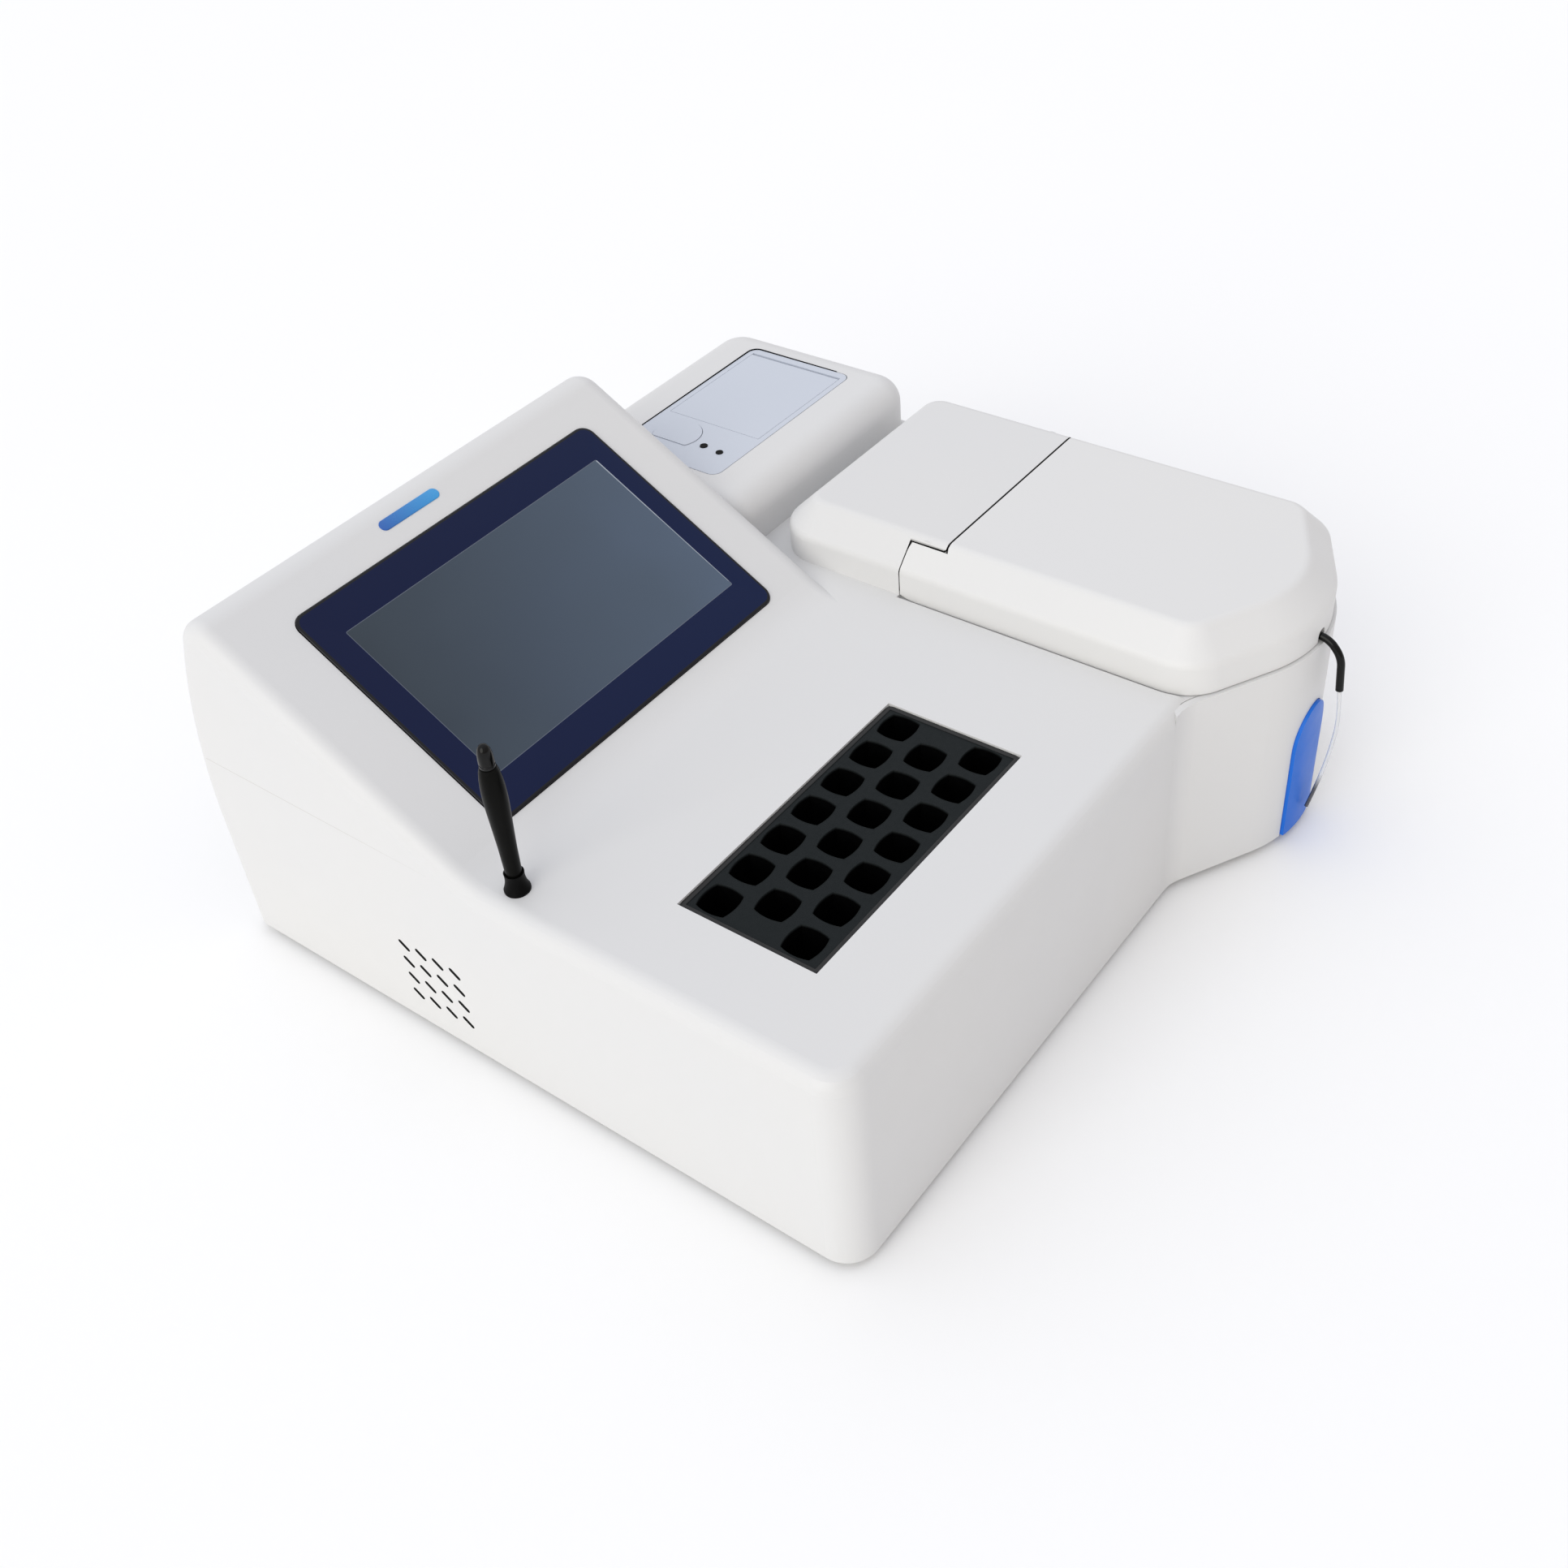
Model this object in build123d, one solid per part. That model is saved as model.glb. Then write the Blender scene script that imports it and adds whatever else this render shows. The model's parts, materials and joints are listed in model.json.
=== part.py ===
"""Semi-automatic biochemistry analyser: a bench instrument with a sloping touch console, a
warming block for cuvettes, a hinged sample cover over the flow cell and pump, and a printer.

Built in casing coordinates, in millimetres: X to the right along the front wall, Y to the
back, Z up from the casing's lower edge, zero at the left end of the front wall. At the end
every piece moves to the row's frame, whose origin is the middle of the footprint on the bench.
"""
from build123d import *
import math
import os

# ---- driving dimensions --------------------------------------------------------------------------
WALL = 3.0                      # moulded wall
CASE_W, CASE_D = 386.0, 345.0   # main casing, without the nose
DECK_Z = 105.3                  # flat working deck
SEAM_Z = 103.5                  # parting line between the base and the top cover
EDGE_R = 7.5                    # rounding of the deck and shoulder edges
CORNER_R = 14.0                 # rounding of the upright front corners
FOOT_H = 4.0                    # rubber feet below the casing
PLATE_T = 1.5                   # steel bottom plate

NOSE_X, NOSE_TIP = 316.0, 29.2  # nose: its middle, and how far it stands out at the front
NOSE_R, NOSE_ANGLE = 64.0, 29.0 # nose: tip radius, and the slope of its flanks

CONSOLE_W = 240.0               # screen console, from the left wall
BEND_Y, RIDGE_Y = 176.0, 317.0  # where the slope leaves the deck, and its top
SLOPE = 29.5                    # console angle in degrees
BEND_R, RIDGE_R, RIGHT_R = 40.0, 12.0, 10.0
LEAN_Z = 70.0                   # above this height the back wall of the console leans forward

GLASS_X0, GLASS_W, GLASS_H = 32.8, 178.6, 120.0   # touch glass
GLASS_V0, GLASS_T, GLASS_PROUD = 13.1, 3.0, 0.9   # its lower edge along the slope from the bend
VIEW_W, VIEW_H = 153.0, 85.0    # visible part of the display
VIEW_X0, VIEW_V0 = 46.8, 30.4

BLOCK_X, BLOCK_Y, BLOCK_W, BLOCK_L = 111.3, 72.6, 140.6, 64.4   # warming block: middle and size
BLOCK_H, BLOCK_DROP = 46.0, 1.2 # its height, and how far its top lies below the deck
WELL_PITCH, WELL_SIDE, WELL_BULGE, WELL_DEEP = 20.0, 13.2, 1.15, 36.0

RAISED_X0, RAISED_X1 = 249.5, 382.5               # raised housing: cover and its fixed rear part
RAISED_TOP, RAISED_BACK = 131.6, 217.0
RAISED_BEVEL, RAISED_SOFT = 13.0, 5.0
COVER_GAP, COVER_WALL, COVER_Z0 = 1.0, 2.5, 104.1
COVER_SEAM_Y, EAR_BACK_Y, EAR_X = 126.0, 145.0, 259.5
HINGE_Y, HINGE_Z, PIN_R = 137.0, 125.0, 1.3
RUN = 0.05                      # radial running clearance of shafts and pins

PRINT_X0, PRINT_X1, PRINT_Y0, PRINT_Y1 = 236.0, 384.5, 228.0, 344.0   # printer housing
FRAME_X0, FRAME_X1, FRAME_Y0, FRAME_Y1 = 255.0, 366.5, 254.0, 316.6   # printer front frame
DOOR_X0 = 292.5

TRAY_X0, TRAY_X1, TRAY_Y0, TRAY_Y1, TRAY_Z0 = 262.0, 370.0, 4.0, 112.0, 72.0
PUMP_X, PUMP_Y, PUMP_Z0 = 297.0, 58.0, 74.0
ROLLER_R, ROLLER_PITCH, TRACK_R = 5.0, 14.0, 21.5
TUBE_D = 1.8                    # free aspiration tube
BEAM_X, BEAM_Z, CELL_Y = 346.0, 86.0, 94.0        # light path along Y

nodes = {}


def keep(name, shape):
    """Stores one node; its solids stay separate."""
    nodes[name] = shape
    return shape


def block(x0, x1, y0, y1, z0, z1):
    """Box given by its limits."""
    return Pos((x0 + x1) / 2, (y0 + y1) / 2, (z0 + z1) / 2) * Box(x1 - x0, y1 - y0, z1 - z0)


def rod(start, axis, length, radius):
    """Cylinder from a start point along +X, +Y or +Z."""
    turn = {"x": Rot(0, 90, 0), "y": Rot(-90, 0, 0), "z": Rot(0, 0, 0)}[axis]
    return Pos(*start) * turn * Pos(0, 0, length / 2) * Cylinder(radius, length)


def rounded_slab(x0, x1, y0, y1, z0, z1, radius):
    """Flat slab with rounded upright corners."""
    plan = Pos((x0 + x1) / 2, (y0 + y1) / 2) * RectangleRounded(x1 - x0, y1 - y0, radius)
    return Pos(0, 0, z0) * extrude(plan, z1 - z0)


def group(parts):
    """Several separate solids that share a node."""
    return Compound(children=list(parts))


def near(vertex, x, y):
    return abs(vertex.X - x) < 0.6 and abs(vertex.Y - y) < 0.6


# ---- plan outlines -------------------------------------------------------------------------------
def nose_edges(inset, left_x, right_x):
    """Front run of a nose outline from left to right, between two upright lines."""
    turn = math.radians(NOSE_ANGLE)
    radius = NOSE_R - inset
    centre_y = NOSE_R - NOSE_TIP
    tx, ty = radius * math.sin(turn), centre_y - radius * math.cos(turn)
    left = (left_x, ty + (NOSE_X - tx - left_x) * math.tan(turn))
    right = (right_x, ty + (right_x - NOSE_X - tx) * math.tan(turn))
    arc = ThreePointArc((NOSE_X - tx, ty), (NOSE_X, centre_y - radius), (NOSE_X + tx, ty))
    return left, right, [Line(left, (NOSE_X - tx, ty)), arc, Line((NOSE_X + tx, ty), right)]


def nose_plan():
    """Nose outline with a soft hollow where it leaves the front wall, and a square back."""
    left, right, run = nose_edges(0.0, 246.8, CASE_W)
    start = (238.0, left[1])
    back = 14.0
    sides = [Line(right, (CASE_W, back)), Line((CASE_W, back), (254.0, back)),
             Line((254.0, back), start), Line(start, left)]
    plan = make_face(run + sides)
    plan = fillet([v for v in plan.vertices() if near(v, *left)], 20.0)
    return fillet([v for v in plan.vertices() if near(v, *right)], 12.0)


def raised_plan(inset=0.0, back=RAISED_BACK):
    """Outline of the raised housing: nose-shaped front, straight sides, rounded back."""
    x0, x1 = RAISED_X0 + inset, RAISED_X1 - inset
    left, right, run = nose_edges(1.5 + inset, x0, x1)
    back -= inset
    sides = [Line(right, (x1, back)), Line((x1, back), (x0, back)), Line((x0, back), left)]
    plan = make_face(run + sides)
    front = [v for v in plan.vertices() if near(v, *left) or near(v, *right)]
    plan = fillet(front, 24.0 - inset)
    rear = [v for v in plan.vertices() if v.Y > back - 0.6]
    return fillet(rear, 20.0 - inset)


def raised_solid(inset, z0):
    """Raised housing with a soft bevel all round its top, drawn in by inset."""
    top = RAISED_TOP - inset
    solid = Pos(0, 0, z0) * extrude(raised_plan(inset), top - z0)
    bevel = RAISED_BEVEL - 0.586 * inset
    solid = chamfer(solid.edges().filter_by_position(Axis.Z, top - 0.01, top + 0.01), bevel)
    levels = (top, top - bevel)
    soft = [e for e in solid.edges() if any(abs(e.center().Z - z) < 0.01 for z in levels)]
    return fillet(soft, RAISED_SOFT - 0.6 * inset)


# ---- console profile -----------------------------------------------------------------------------
def slope_z(y):
    return DECK_Z + (y - BEND_Y) * math.tan(math.radians(SLOPE))


def console_profile():
    """Side view of the console in Y and Z, with the bend and the ridge rounded."""
    ridge = (RIDGE_Y, slope_z(RIDGE_Y))
    edges = [Line((100, 0), (CASE_D, 0)), Line((CASE_D, 0), (CASE_D, LEAN_Z)),
             ThreePointArc((CASE_D, LEAN_Z), (338.5, 122.0), ridge),
             Line(ridge, (BEND_Y, DECK_Z)), Line((BEND_Y, DECK_Z), (100, DECK_Z)),
             Line((100, DECK_Z), (100, 0))]
    face = make_face(edges)
    face = fillet([v for v in face.vertices() if near(v, *ridge)], RIDGE_R)
    return fillet([v for v in face.vertices() if near(v, BEND_Y, DECK_Z)], BEND_R)


def console_solid(x0, x1, inset):
    face = console_profile()
    if inset:
        face = offset(face, amount=-inset)
    return Pos(x0, 0, 0) * extrude(Plane.YZ * face, x1 - x0)


slope_plane = Plane(origin=(0, BEND_Y, DECK_Z), x_dir=(1, 0, 0),
                    z_dir=(0, -math.sin(math.radians(SLOPE)), math.cos(math.radians(SLOPE))))


def on_slope(x0, x1, v0, v1, z0, z1, radius=0.0):
    """Slab on the console slope: x across, v up the slope from the bend, z out of it."""
    size = (x1 - x0, v1 - v0)
    flat = RectangleRounded(*size, radius) if radius else Rectangle(*size)
    solid = extrude(flat, z1 - z0)
    return slope_plane * Pos((x0 + x1) / 2, (v0 + v1) / 2, z0) * solid


# ---- outer form of base and cover together -------------------------------------------------------
def outer_form():
    console = console_solid(0, CONSOLE_W, 0)
    right = [e for e in console.edges() if e.center().X > CONSOLE_W - 0.01 and e.center().Z > 1
             and e.center().Y > 101]
    console = fillet(right, RIGHT_R)
    deck = make_face(Polyline((0, 0), (CASE_W, 0), (CASE_W, CASE_D), (225, CASE_D), (225, 300),
                              (0, 300), close=True))
    deck = fillet([v for v in deck.vertices() if v.Y < 1], CORNER_R)
    deck = fillet([v for v in deck.vertices() if near(v, CASE_W, CASE_D)], 10.0)
    body = extrude(deck, DECK_Z) + console
    body = body.clean()
    chain = []
    for e in body.edges():
        c = e.center()
        on_left = c.X < 0.01 and c.Z > 1
        on_front = abs(c.Z - DECK_Z) < 0.01 and c.Y < CORNER_R
        on_right = abs(c.Z - DECK_Z) < 0.01 and c.X > CASE_W - 11
        if (on_left and c.Y > CORNER_R + 1) or on_front or on_right:
            chain.append(e)
    return fillet(chain, EDGE_R)


body = outer_form()
nose = extrude(nose_plan(), SEAM_Z)
top_half = block(-50, 450, -80, 400, SEAM_Z, 300)


# ---- base casing ---------------------------------------------------------------------------------
def arch_plan(half_width, z0, grow):
    """Arched outline of the aspirate key in X and Z: straight sides and an elliptical top."""
    spring = 50.0
    a, b = half_width + grow, 20.0 + grow
    top = EllipticalCenterArc((NOSE_X, spring), a, b, start_angle=0, arc_size=180)
    sides = [Line((NOSE_X - a, spring), (NOSE_X - a, z0)), Line((NOSE_X - a, z0), (NOSE_X + a, z0)),
             Line((NOSE_X + a, z0), (NOSE_X + a, spring))]
    return make_face([top] + sides)


def arch_prism(half_width, z0, grow, y0, y1):
    return Pos(0, y1, 0) * extrude(Plane.XZ * arch_plan(half_width, z0, grow), y1 - y0)


KEY_HALF, KEY_PROUD, KEY_TRAVEL = 14.0, 1.5, 2.5
GRILLE_Y, GRILLE_Z, GRILLE_PITCH, GRILLE_N = 214.6, 32.4, 10.0, 4
GRILLE_LEAN = -53.0              # lean of its slots: down towards the front
PANEL_X0, PANEL_X1, PANEL_Z0, PANEL_Z1 = 34.0, 226.0, 8.0, 68.0


def inside_plan(inset):
    """Plan of the room inside the casing walls; its back steps in under the leaning console."""
    plan = make_face(Polyline((0, 0), (CASE_W, 0), (CASE_W, CASE_D), (236, CASE_D), (236, 340),
                              (0, 340), close=True))
    plan = fillet([v for v in plan.vertices() if v.Y < 1], CORNER_R)
    return offset(plan, amount=-inset)


inner_plan = inside_plan(WALL)
nose_inner = offset(nose_plan(), amount=-WALL)
hollow = Pos(0, 0, -1) * extrude(inner_plan, SEAM_Z + 2)
hollow += Pos(0, 0, -1) * extrude(nose_inner, SEAM_Z + 2)
hollow += block(262, CASE_W - WALL, -4, 20, -1, SEAM_Z + 1)

base = (body + nose) - top_half - hollow
base -= arch_prism(KEY_HALF, -1, 0.4, -40, -8)
slot = Rot(0, 90, 0) * extrude(SlotOverall(6.0, 1.6), 8)
for row in range(GRILLE_N):
    for col in range(GRILLE_N):
        y = GRILLE_Y + (col - (GRILLE_N - 1) / 2) * GRILLE_PITCH
        z = GRILLE_Z + (row - (GRILLE_N - 1) / 2) * GRILLE_PITCH
        base -= Pos(-2, y, z) * Rot(GRILLE_LEAN, 0, 0) * slot
base -= block(PANEL_X0, PANEL_X1, CASE_D - 2.0, CASE_D + 1, PANEL_Z0, PANEL_Z1)
base -= block(PANEL_X0 + 5, PANEL_X1 - 5, CASE_D - 12, CASE_D, PANEL_Z0 + 4, PANEL_Z1 - 4)
keep("base_casing", base)

# ---- top cover -----------------------------------------------------------------------------------
raised = raised_solid(0, SEAM_Z - 1)
raised_in = raised_solid(COVER_WALL, SEAM_Z - 6)


def soft_slab(x0, x1, y0, y1, z0, z1, corner, edge):
    """Rounded slab whose top edge is rounded too."""
    slab = rounded_slab(x0, x1, y0, y1, z0, z1, corner)
    return fillet(slab.edges().filter_by_position(Axis.Z, z1 - 0.01, z1 + 0.01), edge)


housing = soft_slab(PRINT_X0, PRINT_X1, PRINT_Y0, PRINT_Y1, SEAM_Z - 1, RAISED_TOP, 16.0, 13.0)
housing_in = soft_slab(PRINT_X0 + 6, PRINT_X1 - 4, PRINT_Y0 + 4, PRINT_Y1 - 4, 90, RAISED_TOP - 3,
                       12.0, 9.0)

LIP_Z = 96.0
lip = Pos(0, 0, LIP_Z) * extrude(inside_plan(WALL + 0.4), SEAM_Z - LIP_Z + 0.1)
lip_cut = Pos(0, 0, LIP_Z - 1) * extrude(inside_plan(2 * WALL + 0.4), DECK_Z - WALL - LIP_Z + 1)
nose_lip = Pos(0, 0, 100.5) * extrude(offset(nose_plan(), amount=-WALL - 0.4), 3.0)
nose_lip += block(262, CASE_W - WALL - 0.4, -4, 20, 100.5, SEAM_Z)

cover_pocket = Pos(0, 0, SEAM_Z) * extrude(raised_plan(-2.0), 40)
cover_pocket &= block(200, 450, -60, EAR_BACK_Y + 0.6, 90, 150)
fixed_region = block(240, 400, EAR_BACK_Y + 0.6, 260, 90, 140)
fixed_region += block(EAR_X + COVER_GAP, 2 * NOSE_X - EAR_X - COVER_GAP,
                      COVER_SEAM_Y + COVER_GAP, 200, 90, 140)

hollow_region = block(200, 400, EAR_BACK_Y + 3.6, 300, 90, 140)
hollow_region += block(EAR_X + COVER_GAP + WALL, 2 * NOSE_X - EAR_X - COVER_GAP - WALL,
                       COVER_SEAM_Y + COVER_GAP + WALL, 155, 90, 140)
cover = (body & top_half) + lip - lip_cut
cover = cover - console_solid(WALL, CONSOLE_W - WALL, WALL) - cover_pocket + nose_lip
cover += (raised & fixed_region & block(200, 400, 0, 300, SEAM_Z - 3, 140))
cover += housing & top_half
cover -= raised_in & hollow_region
cover -= housing_in

# openings of the cover
well_room = block(BLOCK_X - BLOCK_W / 2 - 0.4, BLOCK_X + BLOCK_W / 2 + 0.4,
                  BLOCK_Y - BLOCK_L / 2 - 0.4, BLOCK_Y + BLOCK_L / 2 + 0.4, 90, 110)
cover -= well_room
cover -= on_slope(GLASS_X0 - 0.3, GLASS_X0 + GLASS_W + 0.3, GLASS_V0 - 0.3,
                  GLASS_V0 + GLASS_H + 0.3, GLASS_PROUD - GLASS_T - 0.05, 5, 6.3)
cover -= on_slope(VIEW_X0 - 4, VIEW_X0 + VIEW_W + 4, VIEW_V0 - 4, VIEW_V0 + VIEW_H + 4, -6, 5)
cover -= block(TRAY_X0 - 0.3, TRAY_X1 + 0.3, TRAY_Y0 - 0.3, TRAY_Y1 + 0.3, 95, 106)
cover -= block(272, 360, 130, 196, 95, 110)
cover -= rounded_slab(FRAME_X0 - 0.15, FRAME_X1 + 0.8, FRAME_Y0 - 0.15, FRAME_Y1 + 0.8,
                      RAISED_TOP - 2.0, RAISED_TOP + 1, 5.2)
cover -= block(FRAME_X0 + 4, FRAME_X1 - 4, FRAME_Y0 + 3, FRAME_Y1 - 3, 120, 140)
STYLUS_X, STYLUS_Y = 13.7, 162.6
cover -= rod((STYLUS_X, STYLUS_Y, 90), "z", 20, 4.6)
cover -= rod((STYLUS_X, STYLUS_Y, DECK_Z), "z", 10, 5.4)

# knuckle bosses for the cover's hinge pins
PIN_LEN = 10.0
PIN_IN_EAR = 2.0
PIN_STARTS = (EAR_X - PIN_IN_EAR, 2 * NOSE_X - EAR_X + PIN_IN_EAR - PIN_LEN)
BOSS_STARTS = (EAR_X + COVER_GAP + 0.5, 2 * NOSE_X - EAR_X - COVER_GAP - 9.5)
for pin_x, boss_x in zip(PIN_STARTS, BOSS_STARTS):
    boss = rod((boss_x, HINGE_Y, HINGE_Z), "x", 9, 5.6)
    cover += boss & block(200, 400, 100, 200, 100, RAISED_TOP - 0.5)
    cover -= rod((pin_x, HINGE_Y, HINGE_Z), "x", PIN_LEN, PIN_R)
keep("top_cover", cover)

# ---- sample cover: the hinged front of the raised housing ----------------------------------------
lid_region = block(200, 450, -60, COVER_SEAM_Y, COVER_Z0, 150)
ear = block(200, EAR_X, 100, EAR_BACK_Y, COVER_Z0, 150)
ear += block(2 * NOSE_X - EAR_X, 450, 100, EAR_BACK_Y, COVER_Z0, 150)
reach = rod((200, HINGE_Y, HINGE_Z), "x", 250, HINGE_Z - SEAM_Z - 0.6)
behind = block(200, 450, HINGE_Y, 160, 90, 150)
swing = rod((200, HINGE_Y, HINGE_Z), "x", 250, EAR_BACK_Y - HINGE_Y)
above = block(200, 450, HINGE_Y, 160, HINGE_Z, 150)
lid_region += ear - (behind - reach) - (above - swing)
lid_outer = raised_solid(0, COVER_Z0) & lid_region
lid = lid_outer - raised_solid(COVER_WALL, COVER_Z0 - 2)
fixed_edge_r = math.hypot(HINGE_Y - COVER_SEAM_Y - COVER_GAP, RAISED_TOP - HINGE_Z)
lid -= rod((EAR_X, HINGE_Y, HINGE_Z), "x", 2 * (NOSE_X - EAR_X), fixed_edge_r + 0.15)
for pin_x, outer_x in zip(PIN_STARTS, (EAR_X - 10.5, 2 * NOSE_X - EAR_X - 1.5)):
    boss = rod((outer_x, HINGE_Y, HINGE_Z), "x", 12, 4.5) & lid_outer
    lid += boss - (behind - reach) - (above - swing)
    lid -= rod((pin_x - 0.2, HINGE_Y, HINGE_Z), "x", PIN_LEN + 0.4, PIN_R + RUN)
NOTCH_W, TUBE_Z = 6.0, 107.2
lid -= block(NOSE_X - NOTCH_W / 2, NOSE_X + NOTCH_W / 2, -40, -15, COVER_Z0 - 1, TUBE_Z)
lid -= rod((NOSE_X, -40, TUBE_Z), "y", 25, NOTCH_W / 2)
keep("sample_cover", lid)
keep("cover_hinge_pins", group([rod((x, HINGE_Y, HINGE_Z), "x", PIN_LEN, PIN_R) for x in PIN_STARTS]))

# ---- bottom plate, feet, screws ------------------------------------------------------------------
plate_plan = inside_plan(WALL + 0.4)
plate_z = 0.5
plate = Pos(0, 0, plate_z) * extrude(plate_plan, PLATE_T)
plate += Pos(0, 0, plate_z) * extrude(offset(nose_plan(), amount=-WALL - 0.4), PLATE_T)
plate += block(263, CASE_W - WALL - 0.4, -3, 20, plate_z, plate_z + PLATE_T)
plate -= block(NOSE_X - 15, NOSE_X + 15, -40, -20, -1, 5)
vent = SlotOverall(30, 3)
for i in range(8):
    plate -= Pos(150 + 10 * i, 250, -1) * Rot(0, 0, 90) * extrude(vent, 6)
FEET = ((28, 28), (358, 28), (28, 312), (358, 312))
for x, y in FEET:
    plate -= rod((x, y, -1), "z", 5, 2.0)
BOARD_Z = 14.0
plate_top = plate_z + PLATE_T
plate += [rod((x, y, plate_top), "z", BOARD_Z - plate_top, 3.0) for x in (30, 208) for y in (156, 304)]
keep("bottom_plate", plate)
keep("rubber_feet", group([rod((x, y, -FOOT_H), "z", FOOT_H + plate_z, 9.0)
                           + rod((x, y, plate_z), "z", PLATE_T + 0.3, 1.95) for x, y in FEET]))
SCREWS = ((12, 60), (374, 60), (12, 280), (374, 280), (190, 12), (300, 330))
keep("case_screws", group([rod((x, y, plate_z - 2.0), "z", 2.0, 3.0) for x, y in SCREWS]))

# ---- display console -----------------------------------------------------------------------------
keep("touch_glass", on_slope(GLASS_X0, GLASS_X0 + GLASS_W, GLASS_V0, GLASS_V0 + GLASS_H,
                             GLASS_PROUD - GLASS_T, GLASS_PROUD, 6.0))
lcd_z = GLASS_PROUD - GLASS_T - 0.1
keep("display_panel", on_slope(VIEW_X0 - 3.5, VIEW_X0 + VIEW_W + 3.5, VIEW_V0 - 3.5,
                               VIEW_V0 + VIEW_H + 3.5, lcd_z - 5.5, lcd_z))

# ---- warming block -------------------------------------------------------------------------------
block_top = DECK_Z - BLOCK_DROP


def well_plan(side, bulge):
    """Square with its four sides bowed outwards, as a cuvette well is milled."""
    h = side / 2
    corners = [(-h, -h), (h, -h), (h, h), (-h, h)]
    middles = [(0, -h - bulge), (h + bulge, 0), (0, h + bulge), (-h - bulge, 0)]
    arcs = [ThreePointArc(corners[i], middles[i], corners[(i + 1) % 4]) for i in range(4)]
    return make_face(arcs)


def well_places():
    """Three staggered rows of seven, six and seven wells."""
    places = []
    for row, count in enumerate((7, 6, 7)):
        y = BLOCK_Y + 0.9 + (row - 1) * WELL_PITCH
        for i in range(count):
            places.append((BLOCK_X + 0.5 + (i - (count - 1) / 2) * WELL_PITCH, y))
    return places


def around_block(grow, z0, z1):
    """Box over the warming block's plan, grown on every side."""
    return block(BLOCK_X - BLOCK_W / 2 - grow, BLOCK_X + BLOCK_W / 2 + grow,
                 BLOCK_Y - BLOCK_L / 2 - grow, BLOCK_Y + BLOCK_L / 2 + grow, z0, z1)


warm = around_block(0, block_top - BLOCK_H, block_top)
well = extrude(well_plan(WELL_SIDE, WELL_BULGE), WELL_DEEP + 1)
warm -= [Pos(x, y, block_top - WELL_DEEP) * well for x, y in well_places()]
keep("warming_block", warm)
heater_z = block_top - BLOCK_H - 3
keep("heater_pad", block(BLOCK_X - 62, BLOCK_X + 62, BLOCK_Y - 26, BLOCK_Y + 26, heater_z, heater_z + 3))
jacket = around_block(8, heater_z - 8, DECK_Z - WALL - 0.3) - around_block(0.5, heater_z, 120)
keep("insulation_jacket", jacket)

# ---- stylus and its socket -----------------------------------------------------------------------
throat = [Line((5.35, 0.0), (5.35, 0.9)), ThreePointArc((5.35, 0.9), (4.5, 3.2), (4.1, 9.0))]
bore = Polyline((4.1, 9.0), (3.6, 9.0), (3.45, 0.0), (3.45, -20.0), (0.0, -20.0), (0.0, -22.0),
                (4.55, -22.0), (4.55, 0.0), (5.35, 0.0))
socket = revolve(Plane.XZ * make_face(throat + list(bore.edges())), Axis.Z)
keep("stylus_socket", Pos(STYLUS_X, STYLUS_Y, DECK_Z) * socket)
STYLUS_TIP = 72.5
barrel = [Line((3.3, 0.0), (3.3, 9.2)), ThreePointArc((3.3, 9.2), (3.9, 27.0), (4.8, 46.0)),
          ThreePointArc((4.8, 46.0), (4.45, 55.0), (2.9, 63.0)),
          ThreePointArc((2.9, 63.0), (2.25, 70.0), (0.6, STYLUS_TIP))]
lower = Polyline((0.6, STYLUS_TIP), (0, STYLUS_TIP), (0, -19.9), (1.2, -19.9), (3.3, -14.0), (3.3, 0.0))
stylus = revolve(Plane.XZ * make_face(barrel + list(lower.edges())), Axis.Z)
keep("stylus", Pos(STYLUS_X, STYLUS_Y, DECK_Z) * stylus)

# ---- speaker behind the grille -------------------------------------------------------------------
cone = rod((WALL + 0.4, GRILLE_Y, GRILLE_Z), "x", 4, 22)
keep("speaker", cone + rod((WALL + 4.4, GRILLE_Y, GRILLE_Z), "x", 9, 13))

# ---- aspirate key on the nose --------------------------------------------------------------------
nose_shell = extrude(offset(nose_plan(), amount=KEY_PROUD), 80) - Pos(0, 0, -1) * extrude(
    offset(nose_plan(), amount=-4.0), 90)
key = arch_prism(KEY_HALF, 0.8, 0, -45, -10) & nose_shell
keep("aspirate_key", key)
keep("key_bracket", block(NOSE_X - 22, NOSE_X + 22, -14.0, -12.0, plate_top, 60)
     - block(NOSE_X - 6, NOSE_X + 6, -15, -11, 26, 38))
plunger = rod((NOSE_X, -22.4, 32), "y", 10.6, 2.0)
keep("key_switch", block(NOSE_X - 10, NOSE_X + 10, -12.0, -5, 24, 40) + plunger)

# ---- sample tray under the cover -----------------------------------------------------------------
tray = block(TRAY_X0, TRAY_X1, TRAY_Y0, TRAY_Y1, TRAY_Z0, SEAM_Z + 0.1)
tray += rounded_slab(TRAY_X0 - 3, TRAY_X1 + 3, TRAY_Y0 - 3, TRAY_Y1 + 3, SEAM_Z, SEAM_Z + 1.4, 3)
tray -= block(TRAY_X0 + 1.6, TRAY_X1 - 1.6, TRAY_Y0 + 1.6, TRAY_Y1 - 1.6, TRAY_Z0 + 1.6, 120)
tray -= rod((BEAM_X, TRAY_Y1 - 4, BEAM_Z), "y", 8, 5.0)
tray -= rod((PUMP_X, PUMP_Y, TRAY_Z0 - 2), "z", 6, 6.0)
tray -= rod((PUMP_X - 20.3, 12, TRAY_Z0 - 2), "z", 6, 2.2)
keep("sample_tray", tray)

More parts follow.
